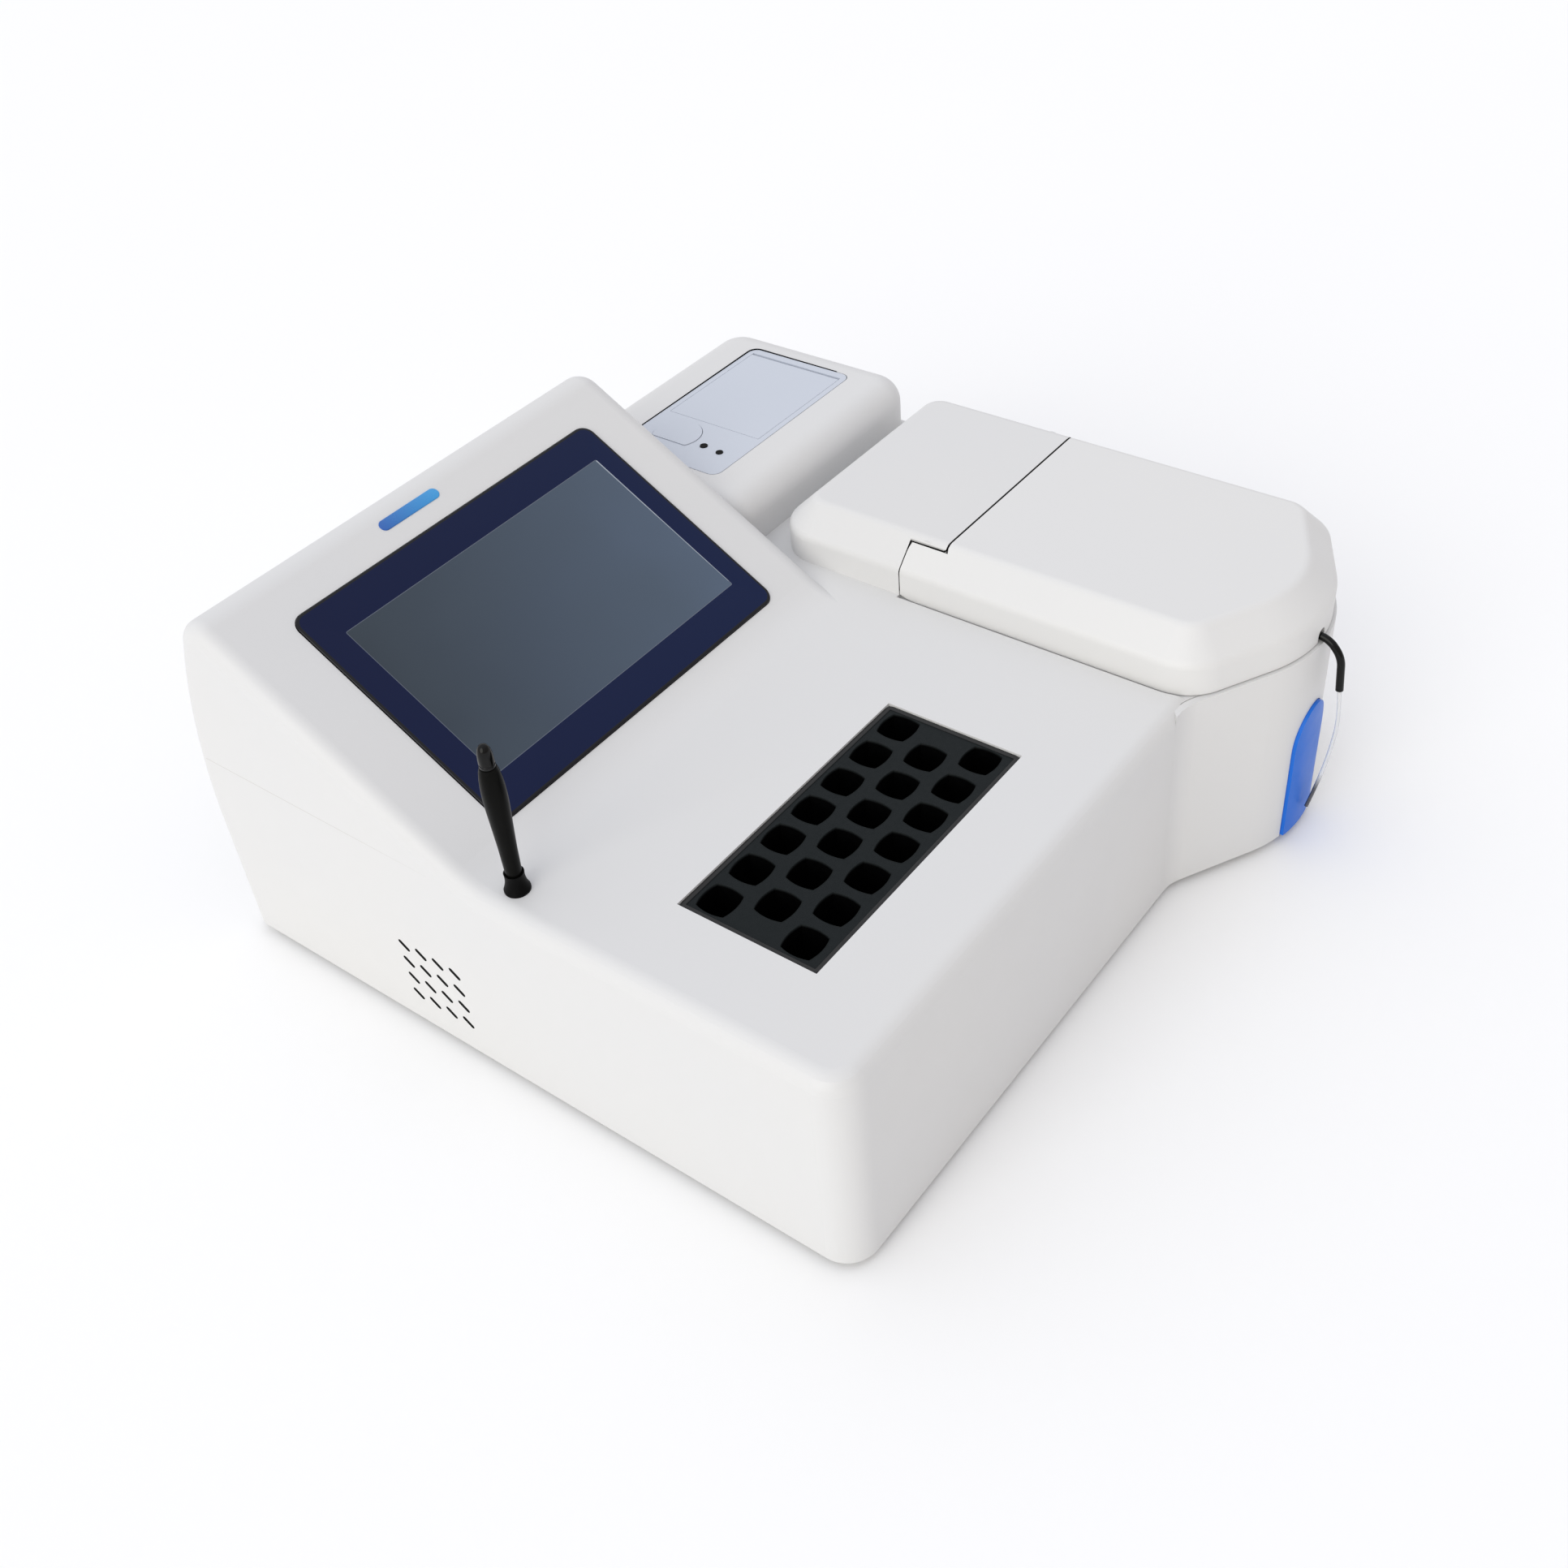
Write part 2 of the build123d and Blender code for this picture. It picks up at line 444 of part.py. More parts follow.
# flow cell in its holder, with the detector in front of it
holder = block(BEAM_X - 15, BEAM_X + 15, CELL_Y - 16, CELL_Y + 14, TRAY_Z0 + 1.7, TRAY_Z0 + 27)
holder -= block(BEAM_X - 6.3, BEAM_X + 6.3, CELL_Y - 6.3, CELL_Y + 6.3, TRAY_Z0 + 4, 120)
holder -= rod((BEAM_X, CELL_Y - 20, BEAM_Z), "y", 40, 3.0)
keep("flow_cell_holder", holder)
cell = block(BEAM_X - 6.2, BEAM_X + 6.2, CELL_Y - 6.2, CELL_Y + 6.2, TRAY_Z0 + 4.1, TRAY_Z0 + 39)
for x in (BEAM_X - 3, BEAM_X + 3):
    cell += rod((x, CELL_Y, TRAY_Z0 + 38), "z", 5, 1.6)
keep("flow_cell", cell)
keep("photodetector", block(BEAM_X - 10, BEAM_X + 10, CELL_Y - 23, CELL_Y - 16.1, BEAM_Z - 8, BEAM_Z + 8))

# peristaltic pump: head, motor, rotor and three rollers
pump_top = PUMP_Z0 + 14
head = block(PUMP_X - 26, PUMP_X + 26, PUMP_Y - 20, PUMP_Y + 27, TRAY_Z0 + 1.7, pump_top)
head -= rod((PUMP_X, PUMP_Y, PUMP_Z0 + 2), "z", 20, TRACK_R)
head -= block(PUMP_X - TRACK_R, PUMP_X + TRACK_R, PUMP_Y - 30, PUMP_Y, PUMP_Z0 + 2, 100)
head -= rod((PUMP_X, PUMP_Y, 60), "z", 40, 6.0)
keep("pump_head", head)
can = rod((PUMP_X, PUMP_Y, TRAY_Z0 - 34), "z", 33.7, 17)
keep("pump_motor", can - rod((PUMP_X, PUMP_Y, TRAY_Z0 - 20), "z", 30, 2.5 + RUN))
rotor = rod((PUMP_X, PUMP_Y, PUMP_Z0 + 2.5), "z", 10.8, 6.5)
rotor += rod((PUMP_X, PUMP_Y, TRAY_Z0 - 19.5), "z", 24, 2.5)
for z in (2.5, 11.5):
    rotor += rod((PUMP_X, PUMP_Y, PUMP_Z0 + z), "z", 1.8, 18)
ROLLERS = [(PUMP_X + ROLLER_PITCH * math.cos(a), PUMP_Y + ROLLER_PITCH * math.sin(a))
           for a in (math.radians(90 + 120 * i) for i in range(3))]
for i, (x, y) in enumerate(ROLLERS):
    rotor += rod((x, y, PUMP_Z0 + 2.5), "z", 10.8, 1.5)
    roller = rod((x, y, PUMP_Z0 + 4.4), "z", 7.0, ROLLER_R) - rod((x, y, PUMP_Z0), "z", 20, 1.5 + RUN)
    keep(f"pump_roller_{i + 1}", roller)
keep("pump_rotor", rotor)

# ---- optics behind the tray: lamp, lens and filter wheel along the beam --------------------------
WHEEL_R, FILTER_PITCH, WHEEL_Y = 29.0, 21.0, 133.0
wheel_x = BEAM_X - FILTER_PITCH
bench = block(290, 378, 116, 214, 46, 50)
bench -= block(wheel_x - WHEEL_R - 2, wheel_x + WHEEL_R + 2, WHEEL_Y - 3, WHEEL_Y + 9, 40, 60)
bench += [block(x, x + 10, y, y + 10, plate_top, 46) for x in (291, 367) for y in (118, 202)]
keep("optical_bench", bench)
wheel = rod((wheel_x, WHEEL_Y, BEAM_Z), "y", 5, WHEEL_R) + rod((wheel_x, WHEEL_Y - 2, BEAM_Z), "y", 26, 2.5)
FILTERS = [(wheel_x + FILTER_PITCH * math.cos(a), BEAM_Z + FILTER_PITCH * math.sin(a))
           for a in (math.radians(45 * i) for i in range(8))]
for x, z in FILTERS:
    wheel -= rod((x, WHEEL_Y - 1, z), "y", 7, 5.5)
keep("filter_wheel", wheel)
keep("optical_filters", group([rod((x, WHEEL_Y + 0.5, z), "y", 4, 5.5) for x, z in FILTERS]))
motor = block(wheel_x - 14, wheel_x + 14, WHEEL_Y + 9, WHEEL_Y + 29, BEAM_Z - 14, BEAM_Z + 14)
motor += block(wheel_x - 10, wheel_x + 10, WHEEL_Y + 9.5, WHEEL_Y + 28, 50, BEAM_Z - 13)
motor -= rod((wheel_x, WHEEL_Y, BEAM_Z), "y", 26, 2.5 + RUN)
keep("filter_motor", motor)
lens_y = 170.0
lens_seat = block(BEAM_X - 6, BEAM_X + 14, lens_y, lens_y + 12.1, 50, BEAM_Z + 12) - rod(
    (BEAM_X, lens_y - 1, BEAM_Z), "y", 20, 5.5)
keep("condenser_lens", rod((BEAM_X, lens_y + 1.5, BEAM_Z), "y", 5, 5.5))
lamp_box = block(BEAM_X - 14, BEAM_X + 14, 182, 212, 50, BEAM_Z + 16)
lamp_box -= block(BEAM_X - 12, BEAM_X + 12, 184, 210, 52, BEAM_Z + 20)
lamp_box -= rod((BEAM_X, 180, BEAM_Z), "y", 6, 5.0)
keep("lamp_housing", lamp_box + lens_seat)
bulb = rod((BEAM_X, 197, 52.2), "z", 22, 6.5) + rod((BEAM_X, 197, 74), "z", 14, 5.0)
bulb += Pos(BEAM_X, 197, 88) * Sphere(5.0)
keep("halogen_lamp", bulb)

# ---- electronics ---------------------------------------------------------------------------------
BOARD_TOP = BOARD_Z + 1.6
board = block(24, 214, 150, 310, BOARD_Z, BOARD_TOP) + block(104, 172, 300, 334, BOARD_Z, BOARD_TOP)
CHIPS = ((60, 190, 24, 24, 2.5), (120, 200, 18, 18, 2.0), (150, 270, 30, 12, 8.0),
         (60, 270, 26, 14, 10.0), (180, 180, 16, 30, 12.0))   # x, y, width, length, height
for x, y, w, l, h in CHIPS:
    board += block(x, x + w, y, y + l, BOARD_TOP, BOARD_TOP + h)
keep("power_supply", block(252, 352, 228, 322, plate_top, 44))

# ---- rear panel with its fittings ----------------------------------------------------------------
panel_y = CASE_D - 2.0
panel = block(PANEL_X0 + 0.3, PANEL_X1 - 0.3, panel_y, CASE_D - 0.2, PANEL_Z0 + 0.3, PANEL_Z1 - 0.3)
INLET_X, SWITCH_X, FAN_X, FITTING_Z = 66.0, 100.0, 190.0, 38.0
panel -= block(INLET_X - 13.7, INLET_X + 13.7, 340, 350, FITTING_Z - 10.2, FITTING_Z + 10.2)
panel -= block(SWITCH_X - 6.7, SWITCH_X + 6.7, 340, 350, FITTING_Z - 9.7, FITTING_Z + 9.7)
panel -= rod((FAN_X, 340, FITTING_Z), "y", 10, 19.0)
PORTS = ((118, 15.5, 8.0), (150, 32.0, 12.6))
for x, w, h in PORTS:
    panel -= block(x - w / 2, x + w / 2, 340, 350, BOARD_TOP, BOARD_TOP + 0.4 + h)
keep("rear_panel", panel)
inlet = block(INLET_X - 13.5, INLET_X + 13.5, 320, CASE_D - 0.2, FITTING_Z - 10, FITTING_Z + 10)
inlet += rounded_slab(INLET_X - 15.5, INLET_X + 15.5, FITTING_Z - 12, FITTING_Z + 12, 0, 1.0, 2).moved(
    Location((0, CASE_D + 0.8, 0), (90, 0, 0)))
inlet -= block(INLET_X - 11.5, INLET_X + 11.5, 328, 350, FITTING_Z - 8, FITTING_Z + 8)
for dx, dz in ((-7, -1.5), (7, -1.5), (0, 3)):
    inlet += block(INLET_X + dx - 1, INLET_X + dx + 1, 327, 342, FITTING_Z + dz - 2, FITTING_Z + dz + 2)
keep("mains_inlet", inlet)
frame = block(SWITCH_X - 6.5, SWITCH_X + 6.5, 328, CASE_D - 0.2, FITTING_Z - 9.5, FITTING_Z + 9.5)
frame += block(SWITCH_X - 7.5, SWITCH_X + 7.5, CASE_D - 0.2, CASE_D + 0.8,
               FITTING_Z - 10.5, FITTING_Z + 10.5)
frame -= block(SWITCH_X - 5.0, SWITCH_X + 5.0, 332, 350, FITTING_Z - 8.8, FITTING_Z + 8.8)
ROCK_Y = CASE_D - 4
frame -= rod((SWITCH_X - 6, ROCK_Y, FITTING_Z), "x", 12, 1.2 + RUN)
keep("switch_frame", frame)
rocker_plan = make_face(Polyline((ROCK_Y - 2.2, -6.5), (ROCK_Y + 3.4, -7.4), (ROCK_Y + 4.4, 0.0),
                                 (ROCK_Y + 5.6, 7.0), (ROCK_Y - 2.2, 6.5), close=True))
rocker = Pos(SWITCH_X - 4.7, 0, FITTING_Z) * extrude(Plane.YZ * rocker_plan, 9.4)
rocker += rod((SWITCH_X - 5.8, ROCK_Y, FITTING_Z), "x", 11.6, 1.2)
keep("power_rocker", rocker)
fan_y = panel_y - 10
fan = block(FAN_X - 20, FAN_X + 20, fan_y, panel_y, FITTING_Z - 20, FITTING_Z + 20)
fan -= rod((FAN_X, fan_y - 1, FITTING_Z), "y", 20, 18.8)
fan += rod((FAN_X, fan_y, FITTING_Z), "y", 1.6, 9.0)
for turn in (0, 90, 180, 270):
    fan += Pos(FAN_X, 0, FITTING_Z) * Rot(0, turn, 0) * block(0, 19.4, fan_y, fan_y + 1.4, -1.2, 1.2)
fan -= rod((FAN_X, fan_y - 1, FITTING_Z), "y", 5, 1.5 + RUN)
keep("fan_frame", fan)
rotor = rod((FAN_X, fan_y + 2, FITTING_Z), "y", 7.4, 8.5)
rotor += rod((FAN_X, fan_y + 0.1, FITTING_Z), "y", 3, 1.5)
blade = Pos(0, fan_y + 5.6, 0) * Rot(32, 0, 0) * block(7.5, 17.8, -3.2, 3.2, -0.6, 0.6)
for i in range(7):
    rotor += Pos(FAN_X, 0, FITTING_Z) * Rot(0, i * 360 / 7, 0) * blade
keep("fan_rotor", rotor)
guard_plan = Circle(5.2) - Circle(3.8)
for radius in (9.5, 14.5, 19.5):
    guard_plan += Circle(radius + 0.7) - Circle(radius - 0.7)
for turn in (45, 135, 225, 315):
    guard_plan += Rot(0, 0, turn) * Pos(14, 0) * Rectangle(19.5, 1.4)
    guard_plan += Rot(0, 0, turn) * Pos(23.3, 0) * Circle(2.4)
guard = Pos(FAN_X, CASE_D + 1.0, FITTING_Z) * Rot(90, 0, 0) * extrude(guard_plan, 1.2)
keep("fan_guard", guard)
for x, w, h in PORTS:
    shell = block(x - w / 2 + 0.2, x + w / 2 - 0.2, 318, CASE_D + 0.4, BOARD_TOP, BOARD_TOP + 0.2 + h)
    board += shell - block(x - w / 2 + 1.4, x + w / 2 - 1.4, 321, 350, BOARD_TOP + 1.2, BOARD_TOP - 1.0 + h)
keep("main_board", board)
WASTE_X, WASTE_Z, BARB_R = 130.0, 52.0, 2.4
barb = rod((WASTE_X, 330, WASTE_Z), "y", CASE_D - 330 + 6, BARB_R)
barb += rod((WASTE_X, CASE_D - 0.2, WASTE_Z), "y", 2.0, 5.0)
barb -= rod((WASTE_X, 325, WASTE_Z), "y", 40, 1.2)
keep("waste_fitting", barb)
nodes["rear_panel"] -= rod((WASTE_X, 330, WASTE_Z), "y", 20, BARB_R)
nodes["base_casing"] -= rod((WASTE_X, 325, WASTE_Z), "y", 12, 3.0)

# ---- printer -------------------------------------------------------------------------------------
frame_top = RAISED_TOP
front = rounded_slab(FRAME_X0, FRAME_X1, FRAME_Y0, FRAME_Y1, frame_top - 2.0, frame_top + 0.2, 5.0)
DOOR_X1, DOOR_Y0, DOOR_Y1 = 362.2, FRAME_Y0 + 3.0, FRAME_Y1 - 3.0
DOOR_AXIS_X, DOOR_AXIS_Z, BARREL_R, DOOR_PIN_R = 360.2, frame_top - 1.2, 1.4, 0.7
front -= block(DOOR_X0, DOOR_X1, DOOR_Y0, DOOR_Y1, frame_top - 4, frame_top + 2)
LATCH_X, LATCH_Y, LATCH_R = 276.7, 295.8, 12.5
latch_plan = Pos(LATCH_X, LATCH_Y) * (Circle(LATCH_R) - Pos(-16, 0) * Rectangle(18, 40))
front -= Pos(0, 0, frame_top - 5) * extrude(offset(latch_plan, amount=0.3), 10)
FEED_X, FEED_Y, FEED_R, LED_X, LED_Y = 274.0, 276.6, 1.9, 273.0, 266.0
front -= rod((FEED_X, FEED_Y, 120), "z", 20, FEED_R + 0.15)
front -= rod((LED_X, LED_Y, 120), "z", 20, 1.9)
front += [rod((DOOR_AXIS_X, y, DOOR_AXIS_Z), "y", 6.0, DOOR_PIN_R) for y in (DOOR_Y0 - 2, DOOR_Y1 - 4)]
keep("printer_frame", front)
door = block(DOOR_X0 + 0.25, DOOR_AXIS_X, DOOR_Y0 + 0.2, DOOR_Y1 - 0.2, frame_top - 1.8, frame_top + 0.2)
door += rod((DOOR_AXIS_X, DOOR_Y0 + 0.2, DOOR_AXIS_Z), "y", DOOR_Y1 - DOOR_Y0 - 0.4, BARREL_R)
door -= rod((DOOR_AXIS_X, DOOR_Y0, DOOR_AXIS_Z), "y", DOOR_Y1 - DOOR_Y0, DOOR_PIN_R + RUN)
keep("printer_door", door)
keep("door_latch", Pos(0, 0, frame_top - 4.5) * extrude(latch_plan, 5.0))
keep("feed_button", rod((FEED_X, FEED_Y, frame_top - 5.0), "z", 5.7, FEED_R))
keep("status_led", rod((LED_X, LED_Y, frame_top - 4.0), "z", 4.6, 1.85))

chassis = block(258, 362, 256, 314.5, 84, 126) - block(250, 370, 257.5, 313, 85.5, 130)
chassis -= block(255, 286, 250, 320, 100, 130)
PAPER_X, PAPER_Z, PAPER_R, SPINDLE_R = 333.0, 107.0, 19.0, 6.0
PLATEN_X, PLATEN_Z, PLATEN_R = 299.0, 120.4, 5.0
GEAR_MODULE, GEAR_TEETH, PINION_TEETH = 0.5, 28, 14
gear_gap = GEAR_MODULE * (GEAR_TEETH + PINION_TEETH) / 2
mesh_angle = -45.0
pinion_x = PLATEN_X + gear_gap * math.cos(math.radians(mesh_angle))
pinion_z = PLATEN_Z + gear_gap * math.sin(math.radians(mesh_angle))
chassis -= rod((PLATEN_X, 250, PLATEN_Z), "y", 70, 2.0 + RUN)
chassis -= block(PLATEN_X - 2.05, PLATEN_X + 2.05, 250, 320, PLATEN_Z, 130)
chassis += rod((PAPER_X, 256, PAPER_Z), "y", 58.5, SPINDLE_R - RUN)
keep("printer_chassis", chassis)
core = rod((PAPER_X, 250, PAPER_Z), "y", 70, SPINDLE_R)
keep("paper_roll", rod((PAPER_X, 259, PAPER_Z), "y", 52, PAPER_R) - core)
platen_shaft = rod((PLATEN_X, 255, PLATEN_Z), "y", 65, 2.0)
keep("platen_roller", rod((PLATEN_X, 258.5, PLATEN_Z), "y", 53, PLATEN_R) + platen_shaft)
keep("print_head", block(286.5, PLATEN_X - PLATEN_R - 0.3, 259, 312.9, 110, 124))


def gear(teeth, width, first_tooth, bore):
    """Spur gear with straight-sided teeth, lying along Y, one tooth centred on first_tooth degrees."""
    root, tip = GEAR_MODULE * (teeth / 2 - 1.2), GEAR_MODULE * (teeth / 2 + 0.95)
    step = 360.0 / teeth
    points = []
    for i in range(teeth):
        middle = first_tooth + i * step
        for radius, lean in ((root, -0.30), (tip, -0.13), (tip, 0.13), (root, 0.30)):
            angle = math.radians(middle + lean * step)
            points.append((radius * math.cos(angle), radius * math.sin(angle)))
    face = make_face(Polyline(*points, close=True)) - Circle(bore)
    return Rot(90, 0, 0) * extrude(face, width)


gear_y = 319.5
keep("platen_gear", Pos(PLATEN_X, gear_y, PLATEN_Z) * gear(GEAR_TEETH, 4.0, mesh_angle, 2.0))
pinion_tooth = mesh_angle + 180 + 180 / PINION_TEETH
pinion = Pos(pinion_x, gear_y, pinion_z) * gear(PINION_TEETH, 4.0, pinion_tooth, 0.9)
keep("motor_pinion", pinion + rod((pinion_x, gear_y - 4, pinion_z), "y", 10, 1.0))
printer_motor = rod((pinion_x, gear_y + 1.2, pinion_z), "y", 16, 9.0)
printer_motor -= rod((pinion_x, gear_y, pinion_z), "y", 8, 1.0 + RUN)
motor_tab = block(pinion_x + 6, pinion_x + 12, 314.5, gear_y + 8, pinion_z - 6, pinion_z + 6)
printer_motor += motor_tab - rod((pinion_x, 310, pinion_z), "y", 40, 8.5)
keep("printer_motor", printer_motor)

# ---- tubing --------------------------------------------------------------------------------------
def tube(points, radius, bore=0.0, scale=0.45):
    """Tube along straight runs joined by tangent arcs, each arc as large as its runs allow."""
    runs = [Vector(*b) - Vector(*a) for a, b in zip(points, points[1:])]
    radii = []
    for before, after in zip(runs, runs[1:]):
        half = math.radians(before.get_angle(after)) / 2
        radii.append(scale * min(before.length, after.length) / math.tan(half))
    path = FilletPolyline(*points, radius=radii)
    start = Plane(origin=points[0], z_dir=runs[0].normalized())
    solid = sweep(start * Circle(radius), path=path)
    if bore:
        solid -= sweep(start * Circle(bore), path=path)
    return solid, path, radii


SLEEVE_Z = 106.2
SLEEVE = [(NOSE_X, -16.0, SLEEVE_Z), (NOSE_X, -31.0, SLEEVE_Z), (NOSE_X, -37.9, 98.5),
          (NOSE_X, -39.3, 81.4)]
sleeve, _, _ = tube(SLEEVE, 1.75, 0.9)
keep("tube_sleeve", sleeve)
clip = block(NOSE_X - 6, NOSE_X + 6, -17, -7, SEAM_Z - 0.5, 110)
clip -= rod((NOSE_X, -18, SLEEVE_Z), "y", 6.95, 1.75) + rod((NOSE_X, -18, SLEEVE_Z), "y", 20, 1.2)
nodes["top_cover"] += clip

FREE_TUBE = [(NOSE_X, -39.3, 81.4), (NOSE_X + 0.3, -41.3, 66.5), (NOSE_X + 0.8, -39.6, 47.0),
             (NOSE_X + 0.4, -36.9, 28.5), (NOSE_X - 0.5, -33.2, 11.0)]
free_tube, free_path, free_radii = tube(FREE_TUBE, TUBE_D / 2)
keep("aspiration_tube", free_tube)
runs = sum((Vector(*b) - Vector(*a)).length for a, b in zip(FREE_TUBE, FREE_TUBE[1:]))
section = math.pi * TUBE_D ** 2 / 4
print("free tube radii", [round(r, 1) for r in free_radii], "length", round(free_path.length, 1),
      "volume over section", round(free_tube.volume / section, 1))

PORT_TOP = TRAY_Z0 + 43.05       # where the inner tubes meet the flow cell's ports
SAMPLE_TUBE = [(NOSE_X, -11.0, SLEEVE_Z), (NOSE_X, 6, SLEEVE_Z), (331, 50, 117),
               (BEAM_X - 3, 84, 124.0), (BEAM_X - 3, CELL_Y, 124.5), (BEAM_X - 3, CELL_Y, PORT_TOP)]
sample_tube, _, _ = tube(SAMPLE_TUBE, 1.1)
loop_r = TRACK_R - 1.2
loop_z = PUMP_Z0 + 8
left_x, right_x = PUMP_X - loop_r, PUMP_X + loop_r
PUMP_TUBE = [(BEAM_X + 3, CELL_Y, PORT_TOP), (BEAM_X + 3, CELL_Y, 124.0), (BEAM_X + 3, 84, 123.0),
             (340, 40, 112), (322, 14, 96), (right_x, 26, loop_z), (right_x, PUMP_Y + loop_r, loop_z),
             (left_x, PUMP_Y + loop_r, loop_z), (left_x, 14, loop_z), (left_x, 12.5, TRAY_Z0 - 6)]
pump_radii = [4.0, 12.0, 30.0, 12.0, 8.0, loop_r - 0.01, loop_r - 0.01, 3.0]
pump_path = FilletPolyline(*PUMP_TUBE, radius=pump_radii)
first_run = Vector(*PUMP_TUBE[1]) - Vector(*PUMP_TUBE[0])
pump_start = Plane(origin=PUMP_TUBE[0], z_dir=first_run.normalized())
pump_tube = sweep(pump_start * Circle(1.1), path=pump_path)
keep("inner_tubes", group([sample_tube, pump_tube]))

# ---- move to the row's frame and write -----------------------------------------------------------
FREE = ("aspiration_tube",)
boxes = [shape.bounding_box() for name, shape in nodes.items() if name not in FREE]
low = [min(getattr(b.min, a) for b in boxes) for a in "XYZ"]
high = [max(getattr(b.max, a) for b in boxes) for a in "XYZ"]
shift = (-(low[0] + high[0]) / 2, -(low[1] + high[1]) / 2, -low[2])
print("frame shift", [round(v, 3) for v in shift], "size", [round(h - l, 2) for l, h in zip(low, high)])
os.makedirs("parts", exist_ok=True)
for name, shape in nodes.items():
    export_step(Pos(*shift) * shape, f"parts/{name}.step")
print(len(nodes), "nodes")
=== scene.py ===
"""Looks of a bench biochemistry analyser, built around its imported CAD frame.

Everything is in metres in the CAD's own frame: X along the front, Y to the back, Z up, with the
bench at zero. Places come from the boxes of the CAD nodes.
"""
import json
import math

import bmesh
import bpy
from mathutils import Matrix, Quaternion, Vector


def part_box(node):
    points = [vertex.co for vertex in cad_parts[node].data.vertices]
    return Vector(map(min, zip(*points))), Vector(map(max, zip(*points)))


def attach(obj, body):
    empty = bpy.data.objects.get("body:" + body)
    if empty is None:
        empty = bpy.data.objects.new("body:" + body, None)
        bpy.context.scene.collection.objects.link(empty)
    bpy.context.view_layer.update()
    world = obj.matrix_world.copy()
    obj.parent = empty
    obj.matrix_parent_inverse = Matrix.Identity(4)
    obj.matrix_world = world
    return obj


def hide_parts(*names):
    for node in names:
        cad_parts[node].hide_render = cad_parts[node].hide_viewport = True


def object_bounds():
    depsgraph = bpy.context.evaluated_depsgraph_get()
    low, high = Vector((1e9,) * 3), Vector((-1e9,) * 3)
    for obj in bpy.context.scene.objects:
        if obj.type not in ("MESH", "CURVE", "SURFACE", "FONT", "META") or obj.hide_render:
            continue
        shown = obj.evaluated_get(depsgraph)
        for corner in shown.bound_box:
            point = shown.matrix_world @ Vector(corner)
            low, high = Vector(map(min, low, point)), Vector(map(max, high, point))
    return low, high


MM = 0.001
SLOPE = math.radians(29.5)      # tilt of the screen console

CAMERA_PLACE = (-0.4798, -0.38988, 0.5741)
CAMERA_AZIMUTH, CAMERA_ELEVATION, CAMERA_ROLL = -49.336, 41.132, -5.741     # degrees
SENSOR_WIDTH, FOCAL_LENGTH = 36.0, 40.222                                   # millimetres

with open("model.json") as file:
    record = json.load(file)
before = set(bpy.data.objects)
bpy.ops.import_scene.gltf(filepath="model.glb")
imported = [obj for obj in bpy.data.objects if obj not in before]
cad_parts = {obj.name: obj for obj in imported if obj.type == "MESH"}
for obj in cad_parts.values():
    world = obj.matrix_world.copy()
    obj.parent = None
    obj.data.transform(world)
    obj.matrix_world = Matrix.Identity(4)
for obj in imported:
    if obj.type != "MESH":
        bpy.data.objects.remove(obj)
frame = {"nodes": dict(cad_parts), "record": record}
cad_low, cad_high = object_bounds()


# ---- camera ------------------------------------------------------------------------------------
def make_camera():
    """Camera at the front left, looking down on the working deck."""
    azimuth, elevation, roll = (math.radians(a) for a in (CAMERA_AZIMUTH, CAMERA_ELEVATION, CAMERA_ROLL))
    data = bpy.data.cameras.new("camera")
    data.sensor_width = SENSOR_WIDTH
    data.lens = FOCAL_LENGTH
    data.clip_start = 0.01
    camera = bpy.data.objects.new("camera", data)
    bpy.context.scene.collection.objects.link(camera)
    level = math.cos(elevation)
    back = Vector((math.sin(azimuth) * level, -math.cos(azimuth) * level, math.sin(elevation)))
    camera.location = CAMERA_PLACE
    camera.rotation_mode = "QUATERNION"
    camera.rotation_quaternion = (-back).to_track_quat("-Z", "Y") @ Quaternion((0, 0, 1), roll)
    bpy.context.scene.camera = camera


make_camera()


